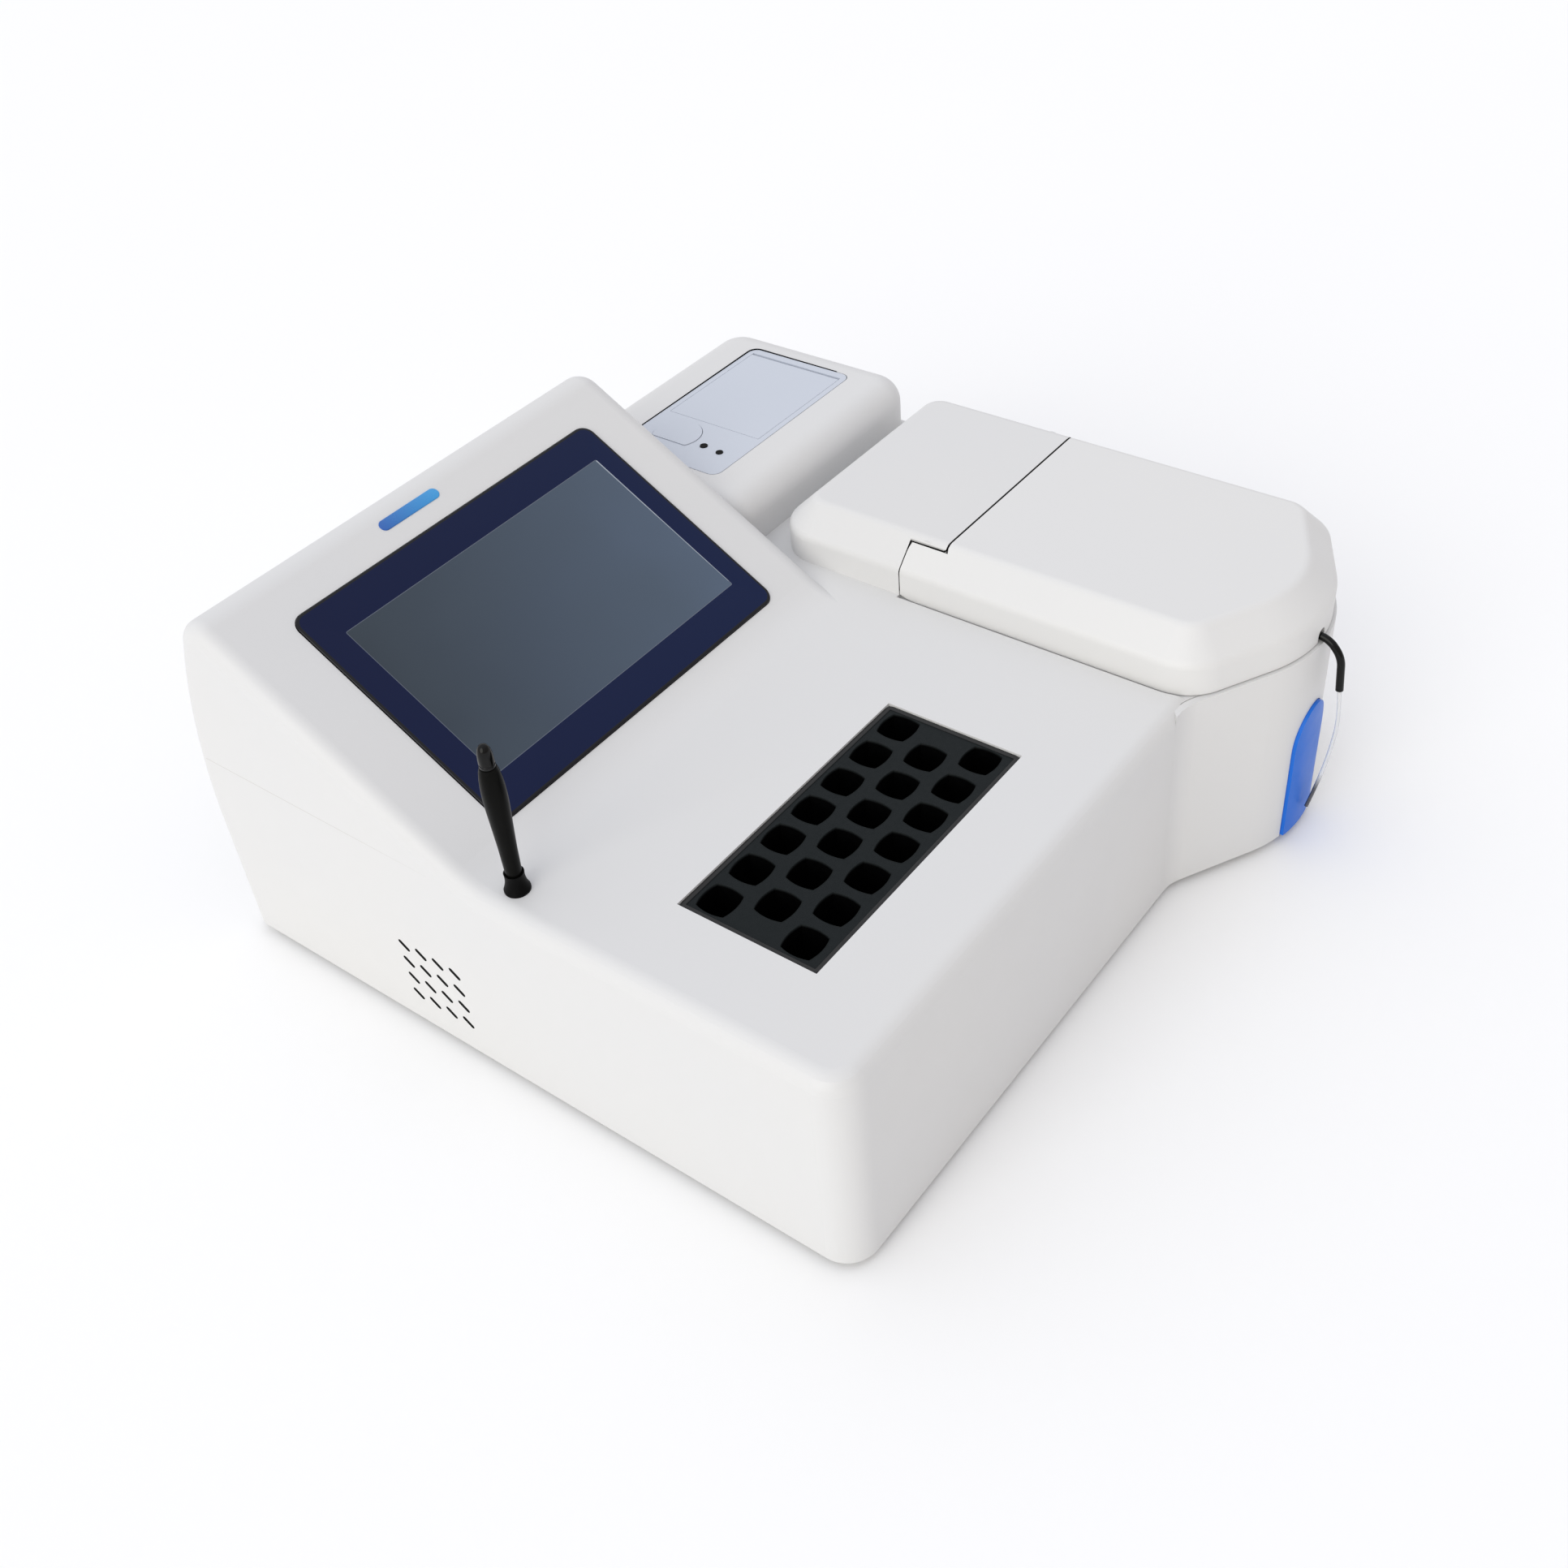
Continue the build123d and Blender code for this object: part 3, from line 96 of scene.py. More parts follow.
# ---- node materials ----------------------------------------------------------------------------
class Nodes:
    """Small helper that builds one node material."""

    def __init__(self, name):
        self.material = bpy.data.materials.new(name)
        self.material.use_nodes = True
        self.tree = self.material.node_tree
        self.shader = self.tree.nodes["Principled BSDF"]
        self.place = self.tree.nodes.new("ShaderNodeTexCoord").outputs["Object"]

    def link(self, output, socket):
        self.tree.links.new(output, socket)

    def set(self, **values):
        """Plain values on the shader's own sockets, with _ for a space in a socket's name."""
        for key, value in values.items():
            self.shader.inputs[key.replace("_", " ")].default_value = value

    def noise(self, scale, detail=2.0, stretch=(1, 1, 1)):
        mapping = self.tree.nodes.new("ShaderNodeMapping")
        mapping.inputs["Scale"].default_value = stretch
        self.link(self.place, mapping.inputs["Vector"])
        node = self.tree.nodes.new("ShaderNodeTexNoise")
        node.inputs["Scale"].default_value = scale
        node.inputs["Detail"].default_value = detail
        self.link(mapping.outputs["Vector"], node.inputs["Vector"])
        return node.outputs["Fac"]

    def along(self, low, high):
        """0 at point low and 1 at point high, straight in between."""
        step = Vector(high) - Vector(low)
        offset = self.tree.nodes.new("ShaderNodeVectorMath")
        offset.operation = "SUBTRACT"
        offset.inputs[1].default_value = low
        self.link(self.place, offset.inputs[0])
        dot = self.tree.nodes.new("ShaderNodeVectorMath")
        dot.operation = "DOT_PRODUCT"
        dot.inputs[1].default_value = step / step.length_squared
        self.link(offset.outputs["Vector"], dot.inputs[0])
        clamp = self.tree.nodes.new("ShaderNodeClamp")
        self.link(dot.outputs["Value"], clamp.inputs["Value"])
        return clamp.outputs["Result"]

    def spread(self, factor, low, high, start=0.3, stop=0.7):
        """Number that runs from low to high as factor runs from start to stop."""
        node = self.tree.nodes.new("ShaderNodeMapRange")
        node.inputs["From Min"].default_value = start
        node.inputs["From Max"].default_value = stop
        node.inputs["To Min"].default_value = low
        node.inputs["To Max"].default_value = high
        self.link(factor, node.inputs["Value"])
        return node.outputs["Result"]

    def mix(self, factor, first, second):
        """Colour between first and second, each a colour or an output."""
        node = self.tree.nodes.new("ShaderNodeMix")
        node.data_type = "RGBA"
        self.link(factor, node.inputs["Factor"])
        for name, value in (("A", first), ("B", second)):
            socket = [s for s in node.inputs if s.name == name and s.type == "RGBA"][0]
            if isinstance(value, bpy.types.NodeSocket):
                self.link(value, socket)
            else:
                socket.default_value = (*value, 1.0)
        return [s for s in node.outputs if s.type == "RGBA"][0]

    def color(self, output):
        self.link(output, self.shader.inputs["Base Color"])

    def rough(self, low, high, scale):
        self.link(self.spread(self.noise(scale), low, high), self.shader.inputs["Roughness"])

    def bump(self, height, strength, distance):
        node = self.tree.nodes.new("ShaderNodeBump")
        node.inputs["Strength"].default_value = strength
        node.inputs["Distance"].default_value = distance
        self.link(height, node.inputs["Height"])
        self.link(node.outputs["Normal"], self.shader.inputs["Normal"])


def moulded(name, first, second, rough=(0.42, 0.5), grain=1400.0, depth=0.10, coat=0.0, drift=5.0,
            level=0.5):
    """Moulded plastic: two close tints that drift over the part, and a fine spark-eroded grain."""
    n = Nodes(name)
    n.color(n.mix(n.spread(n.noise(drift), 0.0, 1.0), first, second))
    n.rough(*rough, 55.0)
    n.bump(n.noise(grain, 3.0), depth, 0.00012)
    n.set(Coat_Weight=coat, Coat_Roughness=0.12, Specular_IOR_Level=level)
    return n.material


def metal(name, first, second, rough=(0.25, 0.38), stretch=(1, 1, 14), scale=260.0):
    """Metal with fine lines from rolling, turning or brushing."""
    n = Nodes(name)
    lines = n.noise(scale, 4.0, stretch)
    n.color(n.mix(n.spread(lines, 0.0, 1.0), first, second))
    n.set(Metallic=1.0)
    n.link(n.spread(lines, *rough), n.shader.inputs["Roughness"])
    n.bump(lines, 0.08, 0.00005)
    return n.material


def anodised_with_painted_bore_shade(name, first, second, mouth_z):
    """Bead-blasted black anodised aluminium: soft sheen, a fine speckle, and painted shade that turns the
    bores black below mouth_z.
    """
    n = Nodes(name)
    skin = n.mix(n.spread(n.noise(2600.0, 2.0), 0.0, 1.0, 0.35, 0.65), first, second)
    # painted shade: bore walls go near black from just below the mouth, for the shade deep in the wells
    depth = n.along((0, 0, mouth_z - 0.1 * MM), (0, 0, mouth_z - 1.2 * MM))
    n.color(n.mix(depth, skin, (0.0006, 0.0006, 0.0008)))
    n.set(Specular_IOR_Level=0.08)
    n.rough(0.46, 0.6, 400.0)
    n.bump(n.noise(3000.0, 2.0), 0.12, 0.00006)
    return n.material


def clear(name, tint, rough=0.05, ior=1.46, alpha=0.45):
    """Clear glass or polymer with faint streaks, thin enough to look through."""
    n = Nodes(name)
    n.color(n.mix(n.spread(n.noise(160.0), 0.0, 1.0), tint, [min(1.0, c * 1.06) for c in tint]))
    n.set(Roughness=rough, IOR=ior, Alpha=alpha, Coat_Weight=0.4, Coat_Roughness=0.03)
    n.bump(n.noise(220.0), 0.05, 0.0001)
    return n.material


def display_painted_sheen():
    """Resting display behind glass: slate grey, with a painted sheen that lifts it towards its lower right,
    where the light falls across the glass.
    """
    n = Nodes("display_painted_sheen")
    # painted sheen: the display runs lighter towards its lower right
    tone = n.along(slope_point(view_x0, view_v0 + VIEW_H, 0),
                   slope_point(view_x0 + VIEW_W, view_v0 + 20 * MM, 0))
    base = n.mix(tone, (0.030, 0.040, 0.053), (0.088, 0.122, 0.180))
    n.color(n.mix(n.spread(n.noise(16.0), 0.0, 0.35), base, (0.060, 0.082, 0.106)))
    n.set(Specular_IOR_Level=0.16, Coat_Weight=0.10, Coat_Roughness=0.06)
    n.rough(0.10, 0.16, 30.0)
    return n.material


def navy_print():
    """Navy print under the glass, a little lighter where the light falls across it."""
    n = Nodes("navy_print")
    tone = n.along(slope_point(glass_x0, glass_height, 0), slope_point(glass_x1, 0, 0))
    n.color(n.mix(tone, (0.0018, 0.0060, 0.0400), (0.0024, 0.0095, 0.0500)))
    n.set(Specular_IOR_Level=0.12, Coat_Weight=0.10, Coat_Roughness=0.03)
    n.rough(0.05, 0.10, 25.0)
    return n.material


# ---- mesh helpers ------------------------------------------------------------------------------
def add_mesh(name, mesh, body, materials, crease=35.0):
    """Links a finished mesh as a piece that rides on a body and takes its finish from a slot."""
    for material in materials:
        mesh.materials.append(material)
    mesh.shade_smooth()
    piece = bpy.data.objects.new(name, mesh)
    bpy.context.scene.collection.objects.link(piece)
    mesh.set_sharp_from_angle(angle=math.radians(crease))
    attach(piece, body)
    return piece


def from_loops(bm, loops, cap_first=True, cap_last=True, ring=False, skin=0):
    """Skins equal loops of points one after another; ring joins the last loop to the first."""
    rows = [[bm.verts.new(p) for p in loop] for loop in loops]
    pairs = list(zip(rows, rows[1:]))
    if ring:
        pairs.append((rows[-1], rows[0]))
    for low, high in pairs:
        for i in range(len(low)):
            j = (i + 1) % len(low)
            bm.faces.new((low[i], low[j], high[j], high[i])).material_index = skin
    if cap_first and not ring:
        bm.faces.new(rows[0][::-1]).material_index = skin
    if cap_last and not ring:
        bm.faces.new(rows[-1]).material_index = skin
    return rows


def finish_mesh(bm, name):
    bmesh.ops.recalc_face_normals(bm, faces=bm.faces)
    mesh = bpy.data.meshes.new(name)
    bm.to_mesh(mesh)
    bm.free()
    return mesh


def rounded_rectangle(x0, x1, y0, y1, radius, steps=10):
    """Outline of a rectangle with round corners, anticlockwise."""
    points = []
    corners = ((x1, y1, 0), (x0, y1, 90), (x0, y0, 180), (x1, y0, 270))
    for x, y, start in corners:
        cx = x - radius if x == x1 else x + radius
        cy = y - radius if y == y1 else y + radius
        for i in range(steps + 1):
            turn = math.radians(start + 90 * i / steps)
            points.append((cx + radius * math.cos(turn), cy + radius * math.sin(turn)))
    return points


def lathe(name, profile, centre, body, materials, steps=64):
    """Turned piece: profile is a list of (radius, height) above centre."""
    bm = bmesh.new()
    loops = []
    for radius, height in profile:
        loops.append([centre + Vector((radius * math.cos(a), radius * math.sin(a), height))
                      for a in (2 * math.pi * i / steps for i in range(steps))])
    from_loops(bm, loops)
    return add_mesh(name, finish_mesh(bm, name), body, materials)


# ---- places on the console slope ---------------------------------------------------------------
GLASS_T, GLASS_CORNER = 3.0 * MM, 6.0 * MM
RIM_ROUND, RIM_BAND = 0.6 * MM, 1.4 * MM    # rounding of the glass's rim, and the black band along it
VIEW_W, VIEW_H = 153.0 * MM, 85.0 * MM      # visible part of the display
glass_low, glass_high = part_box("touch_glass")
glass_x0, glass_x1 = glass_low.x, glass_high.x
glass_height = (glass_high.y - glass_low.y - GLASS_T * math.sin(SLOPE)) / math.cos(SLOPE)
view_x0, view_v0 = glass_x0 + 14.0 * MM, 17.3 * MM
slope_up = Vector((0, math.cos(SLOPE), math.sin(SLOPE)))
slope_out = Vector((0, -math.sin(SLOPE), math.cos(SLOPE)))
slope_start = Vector((0, glass_low.y, glass_low.z + GLASS_T * math.cos(SLOPE)))


def slope_point(x, v, w):
    """Point over the glass: x across, v up from its lower edge, w out of its face."""
    return Vector((x, 0, 0)) + slope_start + slope_up * v + slope_out * w


# ---- aspiration tube ---------------------------------------------------------------------------
TUBE_D = 1.8 * MM
TUBE_ROUTE = [(0.1230, -0.19428, 0.0854), (0.1233, -0.19628, 0.0705), (0.1238, -0.19458, 0.0510),
              (0.1234, -0.19188, 0.0325), (0.1225, -0.18818, 0.0150)]


def tube_material():
    """Translucent tube that turns dark in its last stretch, from 36 mm down to 27 mm above the bench."""
    n = Nodes("tube_polymer")
    n.color(n.mix(n.along((0, 0, 0.036), (0, 0, 0.027)), (0.86, 0.87, 0.88), (0.10, 0.10, 0.11)))
    n.set(IOR=1.4, Transmission_Weight=0.35, Coat_Weight=0.5, Coat_Roughness=0.08)
    n.rough(0.12, 0.2, 300.0)
    return n.material


def make_tube():
    curve = bpy.data.curves.new("sample_tube_line", "CURVE")
    curve.dimensions = "3D"
    curve.bevel_depth = TUBE_D / 2
    curve.bevel_resolution = 6
    curve.resolution_u = 24
    curve.use_fill_caps = True
    spline = curve.splines.new("NURBS")
    spline.points.add(len(TUBE_ROUTE) - 1)
    for point, place in zip(spline.points, TUBE_ROUTE):
        point.co = (*place, 1.0)
    spline.order_u = 3
    spline.use_endpoint_u = True
    curve.materials.append(tube_material())
    piece = bpy.data.objects.new("sample_tube_line", curve)
    bpy.context.scene.collection.objects.link(piece)
    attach(piece, "casing")
    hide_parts("aspiration_tube")


make_tube()


# ---- finishes of the CAD nodes -----------------------------------------------------------------
finishes = {
    "case_white": moulded("case_white", (0.690, 0.692, 0.698), (0.704, 0.700, 0.694)),
    "cover_white": moulded("cover_white", (0.712, 0.712, 0.714), (0.728, 0.724, 0.716)),
    "printer_grey": moulded("printer_grey", (0.560, 0.600, 0.680), (0.580, 0.618, 0.690)),
    "black_plastic": moulded("black_plastic", (0.002, 0.002, 0.002), (0.004, 0.004, 0.004), (0.34, 0.44),
                             depth=0.12, level=0.06),
    "gloss_black": moulded("gloss_black", (0.002, 0.002, 0.002), (0.004, 0.004, 0.004), (0.10, 0.16),
                           depth=0.02, level=0.22),
    "rubber": moulded("rubber", (0.016, 0.016, 0.016), (0.026, 0.026, 0.026), (0.7, 0.85), depth=0.3),
    # warming block, with painted shade deep in its bores
    "black_block": anodised_with_painted_bore_shade("black_block", (0.0095, 0.0120, 0.0130), (0.0145, 0.0178, 0.0192),
                            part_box("warming_block")[1].z),
    "navy_glass": moulded("navy_glass", (0.008, 0.014, 0.052), (0.009, 0.016, 0.056), (0.06, 0.1)),
    "display": moulded("display", (0.05, 0.065, 0.08), (0.055, 0.07, 0.085), (0.2, 0.3)),
    "steel": metal("steel", (0.45, 0.45, 0.46), (0.58, 0.58, 0.58)),
    "sheet_steel": metal("sheet_steel", (0.36, 0.37, 0.38), (0.44, 0.45, 0.46), (0.38, 0.5), (14, 1, 1)),
    "aluminium": metal("aluminium", (0.66, 0.67, 0.68), (0.78, 0.79, 0.80), (0.3, 0.42)),
    "brass": metal("brass", (0.60, 0.43, 0.17), (0.74, 0.55, 0.26)),
    "circuit_board": moulded("circuit_board", (0.010, 0.085, 0.035), (0.014, 0.11, 0.045), (0.3, 0.4),
                             drift=120.0),
    "foam": moulded("foam", (0.55, 0.55, 0.50), (0.66, 0.66, 0.61), (0.8, 0.9), 700.0, 0.6),
    "heater": moulded("heater", (0.38, 0.10, 0.03), (0.46, 0.13, 0.04), (0.5, 0.6)),
    "paper": moulded("paper", (0.80, 0.80, 0.78), (0.86, 0.86, 0.84), (0.7, 0.8), 900.0, 0.2),
    "quartz": clear("quartz", (0.80, 0.88, 0.92)),
    "clear_tube": clear("clear_tube", (0.86, 0.87, 0.87), 0.15, 1.4, 0.7),
    "led": moulded("led", (0.002, 0.003, 0.002), (0.003, 0.004, 0.003), (0.3, 0.4), level=0.05),
}


def key_blue():
    """Blue aspirate key, lighter towards its upper right as its face turns to the light."""
    low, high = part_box("aspirate_key")
    n = Nodes("key_blue")
    tone = n.along((low.x, 0, low.z), (high.x, 0, high.z))
    base = n.mix(tone, (0.013, 0.145, 0.66), (0.021, 0.160, 0.66))
    n.color(n.mix(n.spread(n.noise(30.0), 0.0, 0.2), base, (0.010, 0.130, 0.62)))
    n.rough(0.32, 0.42, 80.0)
    n.bump(n.noise(1500.0, 3.0), 0.08, 0.0001)
    n.set(Specular_IOR_Level=0.18)
    return n.material


finishes["key_blue"] = key_blue()

for part in frame["record"]["subparts"]:
    node = frame["nodes"][part["node"]]
    node.data.materials.clear()
    node.data.materials.append(finishes[part["material_slot"]])


# ---- touch glass and display -------------------------------------------------------------------
def make_glass():
    """Glass sheet with a softened rim, navy print round the display and the display inside it."""
    bm = bmesh.new()

    def outline(inset, w):
        flat = rounded_rectangle(glass_x0 + inset, glass_x1 - inset, inset, glass_height - inset,
                                 GLASS_CORNER - inset)
        return [slope_point(x, v, w) for x, v in flat]

    def window(grow, w):
        flat = rounded_rectangle(view_x0 - grow, view_x0 + VIEW_W + grow, view_v0 - grow,
                                 view_v0 + VIEW_H + grow, 0.6 * MM + grow)
        return [slope_point(x, v, w) for x, v in flat]

    loops = [outline(0, -GLASS_T)]
    for i in range(6):
        turn = math.pi / 2 * i / 5
        loops.append(outline(RIM_ROUND * (1 - math.cos(turn)), RIM_ROUND * (math.sin(turn) - 1)))
    loops.append(outline(RIM_BAND, 0))
    from_loops(bm, loops, cap_last=False, skin=3)
    rows = from_loops(bm, [outline(RIM_BAND, 0), window(0.25 * MM, 0)], cap_first=False, cap_last=False)
    inner = [bm.verts.new(p) for p in window(0, -0.02 * MM)]
    for i in range(len(inner)):
        j = (i + 1) % len(inner)
        bm.faces.new((rows[-1][i], rows[-1][j], inner[j], inner[i])).material_index = 2
    bm.faces.new(inner).material_index = 1
    bmesh.ops.remove_doubles(bm, verts=bm.verts, dist=0.001 * MM)
    rim_black = moulded("glass_rim", (0.001, 0.001, 0.003), (0.002, 0.002, 0.005), (0.1, 0.16), depth=0.0,
                        level=0.3)
    edge = moulded("display_edge", (0.10, 0.12, 0.16), (0.13, 0.15, 0.19), (0.2, 0.3), depth=0.0)
    glass = add_mesh("touch_glass_face", finish_mesh(bm, "touch_glass_face"), "casing",
                     [navy_print(), display_painted_sheen(), edge, rim_black])
    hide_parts("touch_glass")


make_glass()


def make_display_glint():
    """Painted highlight: a light grey strip standing in for the glint on the display's metal edge, seen
    through the glass along its right side.
    """
    bm = bmesh.new()
    x = view_x0 + VIEW_W
    loops = []
    for v, half in ((view_v0 + 2 * MM, 0.10 * MM), (view_v0 + VIEW_H * 0.5, 0.22 * MM),
                    (view_v0 + VIEW_H - 0.3 * MM, 0.30 * MM)):
        loops.append([slope_point(x + dx, v, w * MM) for dx, w in
                      ((-half, -0.1), (half, -0.1), (half, 0.03), (-half, 0.03))])
    from_loops(bm, loops)
    n = Nodes("display_glint")
    # light grey of the painted glint
    n.color(n.mix(n.spread(n.noise(60.0), 0.0, 1.0), (0.30, 0.34, 0.40), (0.38, 0.42, 0.48)))
    n.rough(0.2, 0.3, 100.0)
    add_mesh("display_glint", finish_mesh(bm, "display_glint"), "casing", [n.material])


make_display_glint()


# ---- warming block -----------------------------------------------------------------------------
WELL_SIDE, WELL_BULGE, WELL_PITCH = 13.2 * MM, 1.15 * MM, 20.0 * MM
WELL_ROWS = (7, 6, 7)                       # wells in each row, from the front
WELLS_RIGHT, WELLS_BACK = 0.5 * MM, 0.9 * MM    # how far their pattern sits off the block's middle
block_low, block_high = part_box("warming_block")


def well_outline(centre_x, centre_y, grow, z, steps=8):
    """Square outline with bowed sides, as the wells are milled."""
    half, bulge = WELL_SIDE / 2 + grow, WELL_BULGE
    corners = [(-half, -half), (half, -half), (half, half), (-half, half)]
    points = []
    for i, (ax, ay) in enumerate(corners):
        bx, by = corners[(i + 1) % 4]
        out = (0, -1), (1, 0), (0, 1), (-1, 0)
        for k in range(steps):
            t = k / steps
            push = bulge * (1 - (2 * t - 1) ** 2)
            points.append(Vector((centre_x + ax + (bx - ax) * t + out[i][0] * push,
                                  centre_y + ay + (by - ay) * t + out[i][1] * push, z)))
    return points


def make_well_rims():
    """Milled chamfer round every well mouth."""
    middle_x = (block_low.x + block_high.x) / 2 + WELLS_RIGHT
    middle_y = (block_low.y + block_high.y) / 2 + WELLS_BACK
    top = block_high.z
    section = ((0.30, -0.05), (0.28, 0.04), (0.06, 0.05), (-0.08, -0.12), (-0.10, -1.6), (0.10, -1.6))
    bm = bmesh.new()
    for row, count in enumerate(WELL_ROWS):
        for i in range(count):
            x = middle_x + (i - (count - 1) / 2) * WELL_PITCH
            y = middle_y + (row - 1) * WELL_PITCH
            loops = [well_outline(x, y, grow * MM, top + rise * MM) for grow, rise in section]
            from_loops(bm, loops, ring=True)
    # the rim's inner wall takes the same painted bore shade
    rim = anodised_with_painted_bore_shade("well_rim", (0.0095, 0.012, 0.013), (0.015, 0.018, 0.019), block_high.z)
    add_mesh("well_rims", finish_mesh(bm, "well_rims"), "casing", [rim], 50.0)


def make_block_gasket():
    """Black gasket between the warming block and the deck."""
    bm = bmesh.new()
    section = ((0.3, -2.0), (0.3, 0.20), (-0.2, 0.45), (-1.5, 0.45), (-1.9, 0.25), (-1.9, -2.0))
    loops = []
    for grow, rise in section:
        flat = rounded_rectangle(block_low.x - grow * MM, block_high.x + grow * MM, block_low.y - grow * MM,
                                 block_high.y + grow * MM, (2.3 + grow) * MM, 4)
        loops.append([Vector((x, y, block_high.z + rise * MM)) for x, y in flat])
    from_loops(bm, loops, ring=True)
    add_mesh("block_gasket", finish_mesh(bm, "block_gasket"), "casing",
             [moulded("gasket_black", (0.004, 0.004, 0.004), (0.007, 0.007, 0.007), (0.5, 0.6))])


make_well_rims()
make_block_gasket()


# ---- stylus ------------------------------------------------------------------------------------
def make_stylus():
    """Stylus with a swelling barrel, a fine joint ring and a glossy rounded cap."""
    low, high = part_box("stylus")
    centre = Vector(((low.x + high.x) / 2, (low.y + high.y) / 2, low.z))
    cap_height = 10.5
    joint = high.z - low.z - cap_height * MM
    body = [(0.3, 0), (1.1, 0.2), (1.3, 1.0), (2.4, 4.0), (3.25, 7.0), (3.3, 20.0), (3.3, 29.2), (3.42, 34),
            (3.62, 42), (4.0, 50), (4.42, 58), (4.72, 64), (4.8, 68), (4.72, 72), (4.4, 76.5), (3.85, 80.0)]
    profile = [(r * MM, h * MM) for r, h in body] + [(3.3 * MM, joint), (2.9 * MM, joint + 0.1 * MM)]
    barrel = lathe("stylus_barrel", profile, centre, "stylus",
                   [moulded("stylus_satin", (0.0025, 0.0025, 0.0022), (0.0045, 0.0045, 0.004), (0.26, 0.34),
                            depth=0.04, level=0.06)])
    cap = [(2.6, 0), (3.05, 0.15), (3.12, 0.6), (3.12, 1.4), (2.9, 1.6), (2.9, 1.9), (3.08, 2.1), (3.05, 4.0),
           (2.9, 6.2), (2.5, 8.2), (1.8, 9.6), (0.9, 10.3), (0.2, cap_height)]
    lathe("stylus_cap", [(r * MM, joint + h * MM) for r, h in cap], centre, "stylus",
          [finishes["gloss_black"]])
    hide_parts("stylus")


make_stylus()


# ---- small marks on the casing -----------------------------------------------------------------
def make_badge():
    """Plain blue plate in the console's upper left, without any lettering."""
    bm = bmesh.new()
    x0, v0, width, height = glass_x0 + 62 * MM, glass_height + 9.5 * MM, 34 * MM, 5.4 * MM
    rise = -0.9 * MM
    loops = []
    for inset, w in ((0, -0.4), (0, 0.22), (0.12, 0.34), (0.35, 0.4)):
        flat = rounded_rectangle(x0 + inset * MM, x0 + width - inset * MM, v0 + inset * MM,
                                 v0 + height - inset * MM, height / 2 - inset * MM - 0.01 * MM, 12)
        loops.append([slope_point(x, v, rise + w * MM) for x, v in flat])
    from_loops(bm, loops)
    n = Nodes("badge_blue")
    tone = n.along(slope_point(x0, v0, 0), slope_point(x0 + width, v0, 0))
    n.color(n.mix(tone, (0.010, 0.10, 0.42), (0.03, 0.33, 0.72)))
    n.rough(0.2, 0.3, 200.0)
    n.set(Coat_Weight=0.3, Coat_Roughness=0.05)
    add_mesh("plain_badge", finish_mesh(bm, "plain_badge"), "casing", [n.material])


make_badge()


def make_parting_line():
    """Fine shadow line of the parting seam along the left wall, from the back to the bend."""
    base_low, base_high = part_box("base_casing")
    start, stop, steps = 45 * MM, cad_high.y - 16.5 * MM, 12
    bm = bmesh.new()
    loops = []
    for i in range(steps + 1):
        t = i / steps
        half = 0.13 * MM * min(1.0, 2.5 * t + 0.1)
        y = start + (stop - start) * t
        loops.append([Vector((base_low.x + dx * MM, y, base_high.z + dz)) for dx, dz in
                      ((-0.01, -half), (-0.01, half), (0.4, half), (0.4, -half))])
    from_loops(bm, loops)
    add_mesh("parting_line", finish_mesh(bm, "parting_line"), "casing",
             [moulded("seam_grey", (0.52, 0.50, 0.48), (0.60, 0.585, 0.57), (0.6, 0.7))])


make_parting_line()


# ---- seam shadows and grille shade, painted ----------------------------------------------------
def bead(name, path, radius, material, sides=8):
    """Thin round bead on the casing, along a line of points; here it lays dark strips of painted shadow into
    seams.
    """
    bm = bmesh.new()
    loops = []
    for i, point in enumerate(path):
        ahead = (path[min(i + 1, len(path) - 1)] - path[max(i - 1, 0)]).normalized()
        across = ahead.cross(Vector((0.21, 0.13, 0.97))).normalized()
        rise = across.cross(ahead)
        loops.append([point + (across * math.cos(a) + rise * math.sin(a)) * radius
                      for a in (2 * math.pi * k / sides for k in range(sides))])
    from_loops(bm, loops)
    add_mesh(name, finish_mesh(bm, name), "casing", [material])


# black for the strips of painted shade in seams and slots
painted_shade_black = moulded("painted_shade_black", (0.001, 0.001, 0.001), (0.002, 0.002, 0.002), (0.6, 0.7), level=0.05)


def make_printer_gap_shadow():
    """Painted shadow: a black bead laid in the gap behind and to the right of the printer's front frame."""
    low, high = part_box("printer_frame")
    gap, turn_r, rise = 0.40 * MM, 5.0 * MM, 0.05 * MM
    x1, y1, z = high.x + gap, high.y + gap, high.z + rise
    path = [Vector((low.x + 8 * MM, y1, z - 0.2 * MM))]
    for i in range(9):
        turn = math.radians(90 - 90 * i / 8)
        path.append(Vector((x1 + turn_r * (math.cos(turn) - 1), y1 + turn_r * (math.sin(turn) - 1), z)))
    path.append(Vector((x1, low.y + 9 * MM, z - 0.2 * MM)))
    bead("printer_gap_shadow", path, 0.45 * MM, painted_shade_black)


def make_cover_seam_shadow():
    """Painted shadow: a black bead laid in the seam between the sample cover and the fixed part behind it."""
    low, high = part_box("sample_cover")
    # millimetres in from the cover's side wall, back from its rear edge and up from its top
    half = [(0.5, 0.3, -24.0), (0.5, 0.3, -13.7), (10.4, 0.3, -3.0), (10.5, -17.0, -2.95),
            (11.2, -18.3, -2.3), (13.4, -18.45, -0.62), (16.5, -18.5, -0.32)]
    left = [Vector((low.x + x * MM, high.y + y * MM, high.z + z * MM)) for x, y, z in half]
    right = [Vector((high.x - x * MM, high.y + y * MM, high.z + z * MM)) for x, y, z in reversed(half)]
    bead("cover_seam_shadow", left + right, 0.42 * MM, painted_shade_black)


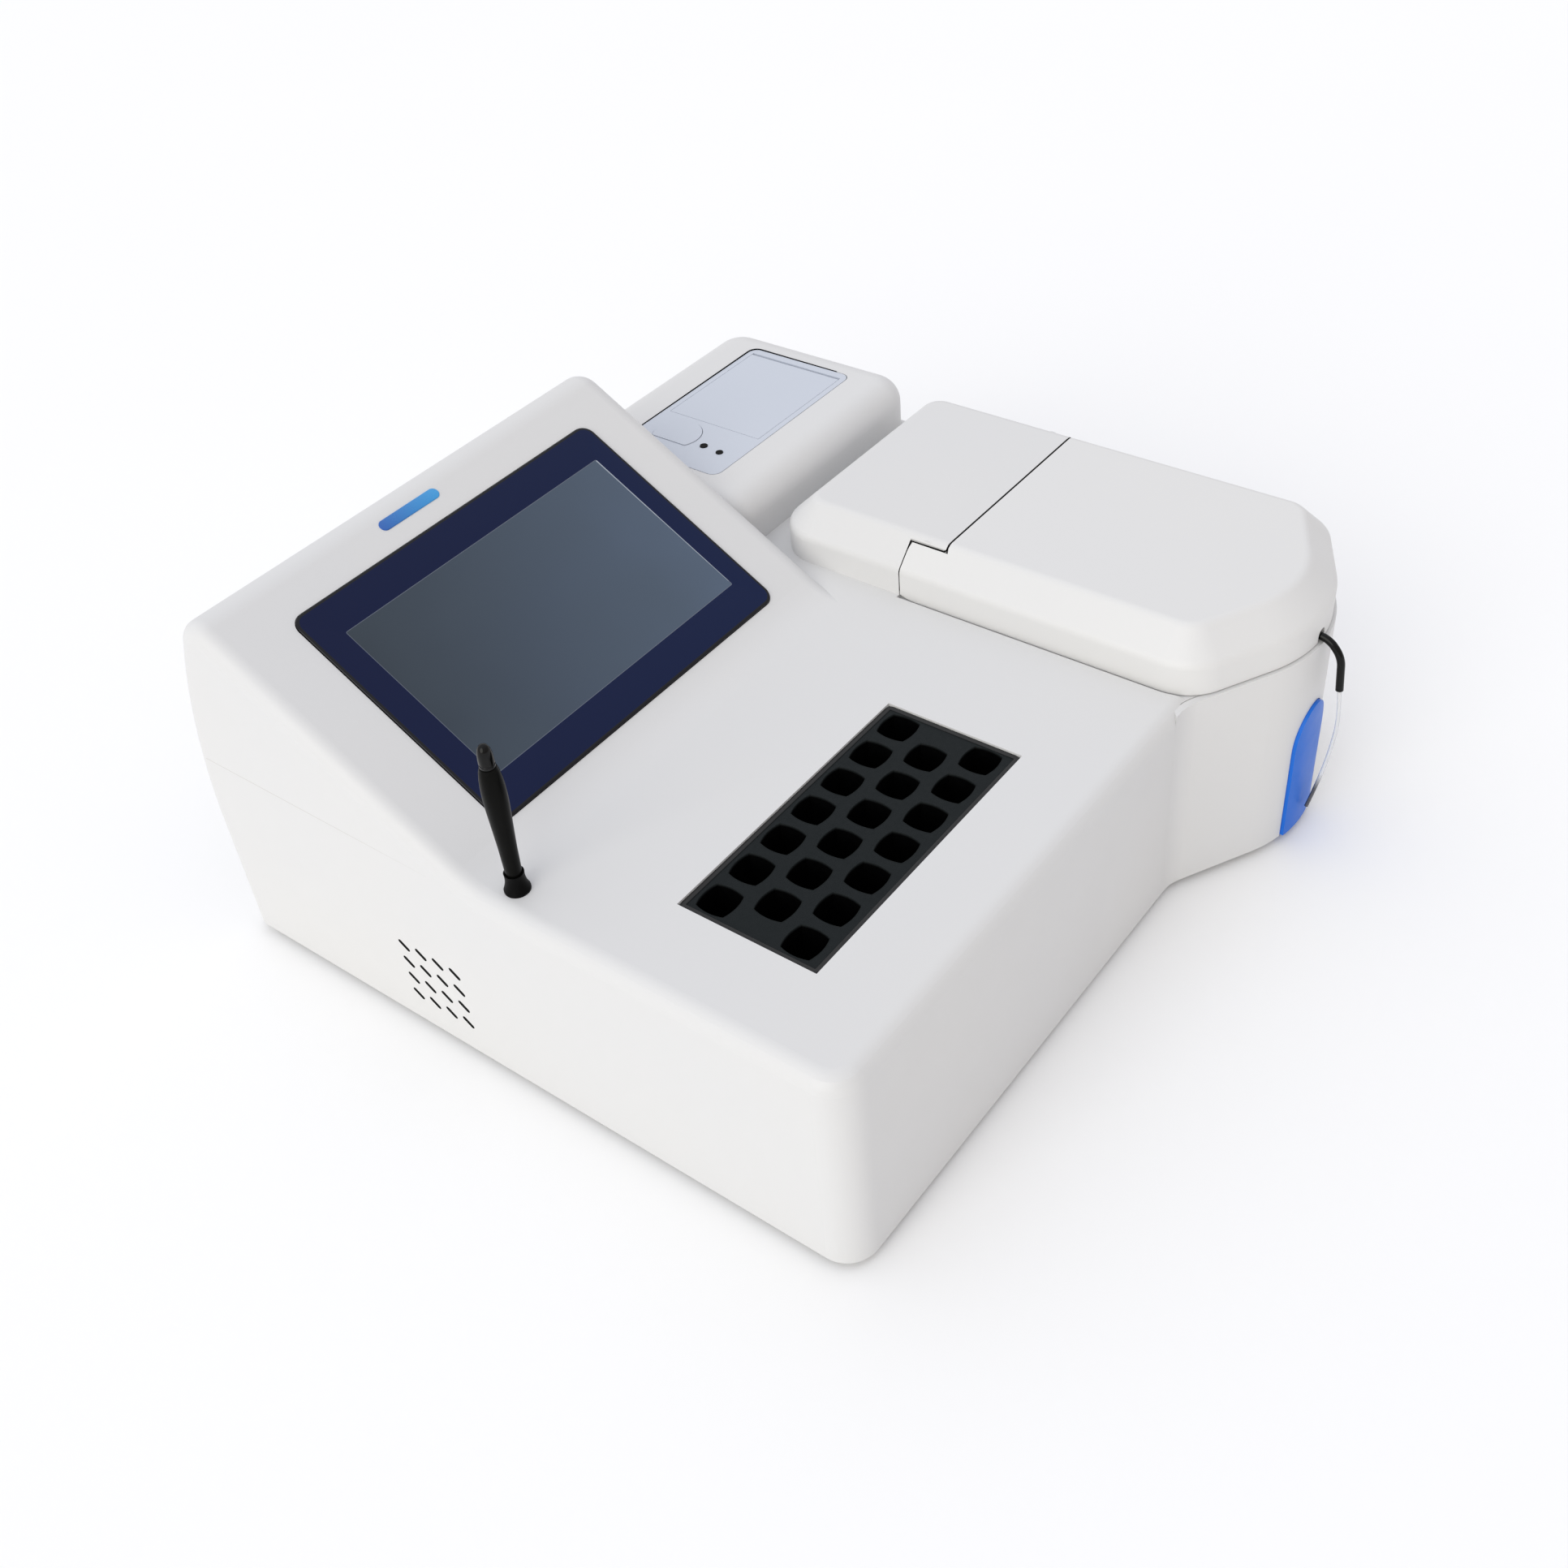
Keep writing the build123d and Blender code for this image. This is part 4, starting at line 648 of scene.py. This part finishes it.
def make_grille():
    """Painted shade: black fill pressed into the slots in front of the speaker and a little past their edges,
    for the shade inside them.
    """
    pitch, count, lean = 10.0 * MM, 4, math.radians(-53)
    long_half, short_half = 2.4 * MM, 1.1 * MM
    wall_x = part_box("base_casing")[0].x
    low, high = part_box("speaker")
    middle_y, middle_z = (low.y + high.y) / 2, (low.z + high.z) / 2
    bm = bmesh.new()
    for row in range(count):
        for column in range(count):
            y = middle_y + (column - (count - 1) / 2) * pitch
            z = middle_z + (row - (count - 1) / 2) * pitch
            outline = []
            for end in (1, -1):
                for k in range(7):
                    turn = math.radians(-90 + 30 * k) + (0 if end == 1 else math.pi)
                    outline.append((end * long_half + short_half * math.cos(turn),
                                    short_half * math.sin(turn)))
            loops = [[Vector((wall_x + depth * MM, y - a * math.sin(lean) - b * math.cos(lean),
                              z + a * math.cos(lean) - b * math.sin(lean))) for a, b in outline]
                     for depth in (-0.05, 1.2)]
            from_loops(bm, loops)
    add_mesh("grille_slot_shade", finish_mesh(bm, "grille_slot_shade"), "casing", [painted_shade_black])


make_cover_seam_shadow()
make_grille()
make_printer_gap_shadow()


# ---- studio ------------------------------------------------------------------------------------
def make_studio():
    """Pale floor, one broad light from the left, and a surround that is dimmer and warmer in front."""
    mesh = bpy.data.meshes.new("floor")
    half = 6.0
    corners = [(-half, -half, 0), (half, -half, 0), (half, half, 0), (-half, half, 0)]
    mesh.from_pydata(corners, [], [(0, 1, 2, 3)])
    floor = bpy.data.objects.new("floor", mesh)
    bpy.context.scene.collection.objects.link(floor)
    n = Nodes("floor_pale")
    n.color(n.mix(n.noise(3.0), (0.955, 0.955, 0.955), (0.965, 0.965, 0.965)))
    n.set(Roughness=0.9, Specular_IOR_Level=0.1)
    mesh.materials.append(n.material)

    sun = bpy.data.lights.new("broad_light", "SUN")
    sun.energy = 1.18
    sun.angle = math.radians(50)
    sun.color = (1.0, 0.985, 0.905)
    lamp = bpy.data.objects.new("broad_light", sun)
    bpy.context.scene.collection.objects.link(lamp)
    rise, swing = math.radians(27.0), math.radians(6.0)
    toward = Vector((-math.cos(rise) * math.cos(swing), -math.cos(rise) * math.sin(swing), math.sin(rise)))
    lamp.rotation_mode = "QUATERNION"
    lamp.rotation_quaternion = toward.to_track_quat("Z", "Y")

    world = bpy.data.worlds.new("surround")
    bpy.context.scene.world = world
    world.use_nodes = True
    tree = world.node_tree
    place = tree.nodes.new("ShaderNodeTexCoord")
    split = tree.nodes.new("ShaderNodeSeparateXYZ")
    ramp = tree.nodes.new("ShaderNodeValToRGB")
    ramp.color_ramp.elements[0].color = (0.765, 0.738, 0.712, 1)
    ramp.color_ramp.elements[1].color = (1.05, 1.085, 1.17, 1)
    tree.links.new(place.outputs["Generated"], split.inputs["Vector"])
    tree.links.new(split.outputs["Z"], ramp.inputs["Fac"])
    side = tree.nodes.new("ShaderNodeMapRange")
    side.inputs["From Min"].default_value = -0.9
    side.inputs["From Max"].default_value = 0.1
    side.inputs["To Min"].default_value = 1.0
    side.inputs["To Max"].default_value = 0.0
    tree.links.new(split.outputs["Y"], side.inputs["Value"])
    shade = tree.nodes.new("ShaderNodeMix")
    shade.data_type = "RGBA"
    shade.blend_type = "MULTIPLY"
    first, second = [socket for socket in shade.inputs if socket.type == "RGBA"]
    second.default_value = (0.62, 0.585, 0.56, 1)
    tree.links.new(side.outputs["Result"], shade.inputs["Factor"])
    tree.links.new(ramp.outputs["Color"], first)
    dimmed = [socket for socket in shade.outputs if socket.type == "RGBA"][0]
    tree.links.new(dimmed, tree.nodes["Background"].inputs["Color"])
    tree.nodes["Background"].inputs["Strength"].default_value = 1.0
    bpy.context.scene.view_settings.view_transform = "Standard"


make_studio()
